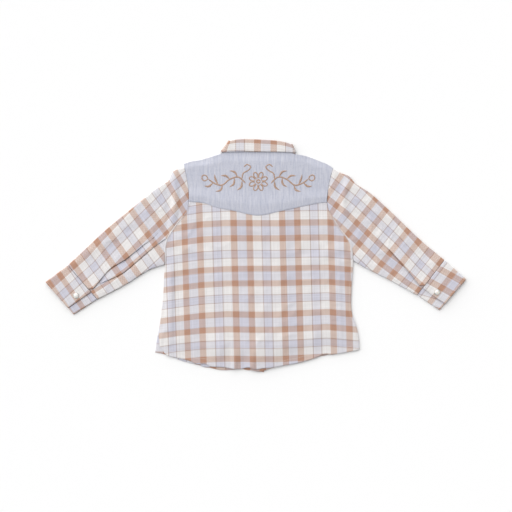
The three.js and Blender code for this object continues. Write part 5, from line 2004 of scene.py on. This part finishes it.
class YokeEmbroidery:
    """A rosette between two leafy vines, satin stitched in tan thread across the yoke."""

    CENTRE = (2.0, 119.0)
    STROKE = 2.9
    FINE_STROKE = 0.85 * STROKE
    LEAF_WIDTH = 4.0

    # The rosette: the outline of a petal by radius and turn, and the ring
    PETALS = 8
    PETAL_STROKE = 0.8 * STROKE
    HALF_PETAL = 0.8 * math.pi / PETALS
    PETAL = ((5.2, -HALF_PETAL / 2), (10.5, -HALF_PETAL), (15.0, -0.1), (15.0, 0.1),
             (10.5, HALF_PETAL), (5.2, HALF_PETAL / 2))
    RING_RADIUS, RING_STEPS = 2.8, 10

    # A vine, by the distance of its points out from the rosette's centre and up from it
    STEM = ((20, -3), (32, 7), (46, 3), (58, -6), (70, -3), (80, 4))
    CURL = ((26, 4), (24, 13), (17, 17), (12, 23), (18, 27), (23, 23))
    BUD = ((80, 4), (83, 9), (88, 10), (90, 5), (86, 1), (80, 4))
    LEAVES = (
        ((33, 7), (38, 15), (46, 17)), ((45, 3), (52, 9), (60, 9)), ((38, 6), (39, -4), (46, -9)),
        ((57, -6), (60, -14), (68, -16)), ((64, -5), (68, 3), (70, 11)),
        ((26, 1), (27, -9), (34, -14)), ((72, -2), (79, -8), (86, -7)),
    )

    def __init__(self, tailor: Tailor) -> None:
        """Makes the stitch."""
        self.tailor = tailor
        self.needle = Needle("satin_stitch", pitch=0.62, length=0.8, thick=0.8, across=True,
                             sink=0.05)

    def work(self, yoke: Object) -> None:
        """Embroiders the yoke."""
        lines = [*self._rosette(), *self._vine(LEFT), *self._vine(RIGHT)]
        thread = self.tailor.wardrobe.embroidery
        piece = self.needle.sew("yoke_embroidery", Cloth(yoke), lines, Face.UP, thread)
        self.tailor.dress(piece, thread, Slot.YOKE)
        LOG.info("yoke_embroidery: %d lines, %d faces", len(lines), len(piece.data.polygons))

    def _rosette(self) -> list[ThreadLine]:
        """Outlined petals round a small ring."""
        def spot(radius: float, turn: float) -> PlanPoint:
            """A point about the centre, by its radius and its turn."""
            return (self.CENTRE[0] + radius * math.cos(turn),
                    self.CENTRE[1] + radius * math.sin(turn))

        lines = []
        for petal in range(self.PETALS):
            middle = 2 * math.pi * (petal + 0.5) / self.PETALS
            outline = [spot(radius, middle + turn) for radius, turn in self.PETAL]
            lines.append(ThreadLine.satin(outline, self.PETAL_STROKE))
        ring = [spot(self.RING_RADIUS, 2 * math.pi * step / self.RING_STEPS)
                for step in range(self.RING_STEPS + 1)]
        return [*lines, ThreadLine.satin(ring, self.STROKE)]

    def _vine(self, side: Side) -> list[ThreadLine]:
        """A waving stem with paired leaves, a curl at its root and a bud at its end."""
        def placed(rows: Sequence[PlanPoint]) -> list[PlanPoint]:
            """The plan points of a line of the vine."""
            return [(self.CENTRE[0] + side.value * out, self.CENTRE[1] + up) for out, up in rows]

        return [
            ThreadLine.satin(placed(self.STEM), self.STROKE),
            ThreadLine.satin(placed(self.CURL), self.FINE_STROKE),
            *(ThreadLine.satin(placed(leaf), self.LEAF_WIDTH, pointed=True)
              for leaf in self.LEAVES),
            ThreadLine.satin(placed(self.BUD), self.FINE_STROKE),
        ]


@dataclass
class PearlSnap:
    """A pearl snap: a milky cap held in a nickel ring.

    Attributes:
        node: The solid that it stands for.
        place: The plan point of its middle.
        base: The height of its flat back.
        face: The way its cap points.
    """

    node: str
    place: PlanPoint
    base: float
    face: Face
    ring: tuple[PlanPoint, ...] = (
        (3.6, 0.0), (4.75, 0.0), (4.75, 0.55), (4.62, 0.86), (4.36, 1.02), (4.05, 1.0),
        (3.8, 0.84), (3.6, 0.6),
    )
    cap: tuple[PlanPoint, ...] = (
        (0.0, 0.2), (3.86, 0.2), (3.9, 0.8), (3.72, 1.06), (3.3, 1.3), (2.6, 1.5), (1.7, 1.63),
        (0.85, 1.69), (0.0, SNAP_HEIGHT),
    )
    sides: int = 40

    def build(self, tailor: Tailor) -> None:
        """Sets the cap and its ring."""
        cap = self._turned(f"{self.node}_pearl", self.cap)
        tailor.dress(cap, tailor.wardrobe.pearl, Slot.SNAP)
        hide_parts(self.node)
        ring = self._turned(f"{self.node}_ring", (*self.ring, self.ring[0]))
        tailor.dress(ring, tailor.wardrobe.nickel, Slot.SNAP)
        LOG.info("%s: pearl cap and ring", self.node)

    def _turned(self, name: str, profile: Sequence[PlanPoint]) -> Object:
        """A turned mesh of a profile of radius and height."""
        form = bmesh.new()
        spots = [form.verts.new((radius, 0.0, height)) for radius, height in profile]
        edges = [form.edges.new(pair) for pair in zip(spots, spots[1:])]
        bmesh.ops.spin(form, geom=[*spots, *edges], cent=(0, 0, 0), axis=(0, 0, 1),
                       angle=2 * math.pi, steps=self.sides, use_merge=True)
        bmesh.ops.remove_doubles(form, verts=form.verts, dist=1e-4)
        for vertex in form.verts:
            x, y, z = vertex.co
            vertex.co = Vector((self.place[0] + x, self.place[1] + y,
                                self.base + self.face.value * z)) * MM
        form.normal_update()
        bmesh.ops.recalc_face_normals(form, faces=form.faces)
        mesh = bpy.data.meshes.new(name)
        form.to_mesh(mesh)
        form.free()
        mesh.shade_smooth()
        return linked(name, mesh)


@dataclass
class Studio:
    """The pale floor, the soft lights and the camera straight above."""

    view_width: float = 819.2
    lens: float = 85.0
    sensor: float = 36.0
    centre_x: float = -1.6
    floor_size: float = 40.0
    floor_drop: float = 0.2
    room_light: float = 0.26
    key_light: float = 4.62
    key_spread: float = 115.0
    key_way: tuple[float, float, float] = (0.42, -0.60, -0.46)

    def build(self) -> None:
        """Sets up the studio."""
        self._floor()
        self._camera()
        self._lights()
        bpy.context.scene.view_settings.view_transform = "Standard"

    def _floor(self) -> None:
        """A wide floor just under the shirt."""
        half, drop = self.floor_size / 2, -self.floor_drop * MM
        mesh = bpy.data.meshes.new("floor")
        corners = [(-half, -half, drop), (half, -half, drop), (half, half, drop),
                   (-half, half, drop)]
        mesh.from_pydata(corners, [], [(0, 1, 2, 3)])
        mesh.materials.append(StudioPaper().material())
        linked("floor", mesh)

    def _camera(self) -> None:
        """A camera that sees the photograph's width from straight above."""
        data = bpy.data.cameras.new("camera")
        data.lens, data.sensor_width = self.lens, self.sensor
        camera = bpy.data.objects.new("camera", data)
        height = self.view_width * MM * self.lens / self.sensor
        camera.location = (self.centre_x * MM, 0.0, height)
        bpy.context.scene.collection.objects.link(camera)
        bpy.context.scene.camera = camera

    def _lights(self) -> None:
        """A bright room with one broad light from the upper left."""
        world = bpy.data.worlds.new("studio")
        world.use_nodes = True
        sky = world.node_tree.nodes["Background"]
        sky.inputs["Color"].default_value = srgb("#FFFFFF")
        sky.inputs["Strength"].default_value = self.room_light
        bpy.context.scene.world = world
        data = bpy.data.lights.new("key", "SUN")
        data.energy, data.angle = self.key_light, math.radians(self.key_spread)
        key = bpy.data.objects.new("key", data)
        key.rotation_euler = Vector(self.key_way).to_track_quat("-Z", "Y").to_euler()
        bpy.context.scene.collection.objects.link(key)


def main() -> None:
    """Builds the shirt's parts in order and the studio round them."""
    logging.basicConfig(level=logging.INFO, format="%(name)s: %(message)s")
    tailor = Tailor(Wardrobe())
    sewing = Sewing(tailor)
    for side in Side:
        sewing.front(side, Front(side).build(tailor))
    panel = BackPanel().build(tailor)
    yoke = BackYoke().build(tailor)
    sewing.back(panel, yoke)
    YokeEmbroidery(tailor).work(yoke)
    for side in Side:
        Sleeve(side).build(tailor)
        sewing.cuff(side, Cuff(side).build(tailor))
        base = CUFF_LEVELS[2] + CUFF_WALL / 2 + CLEARANCE
        PearlSnap(f"snap_cuff_{side.word}", CUFF_SNAPS[side], base, Face.UP).build(tailor)
    sewing.collar(Neck().build(tailor))
    PearlSnap("snap_neck", (0.0, NECK_SNAP_Y), SNAP_HEIGHT, Face.DOWN).build(tailor)
    for number in range(FRONT_SNAPS):
        place = (0.0, FIRST_FRONT_SNAP_Y - number * FRONT_SNAP_PITCH)
        PearlSnap(f"snap_front_{number + 1}", place, SNAP_HEIGHT, Face.DOWN).build(tailor)
    Studio().build()


if __name__ == "__main__":
    main()
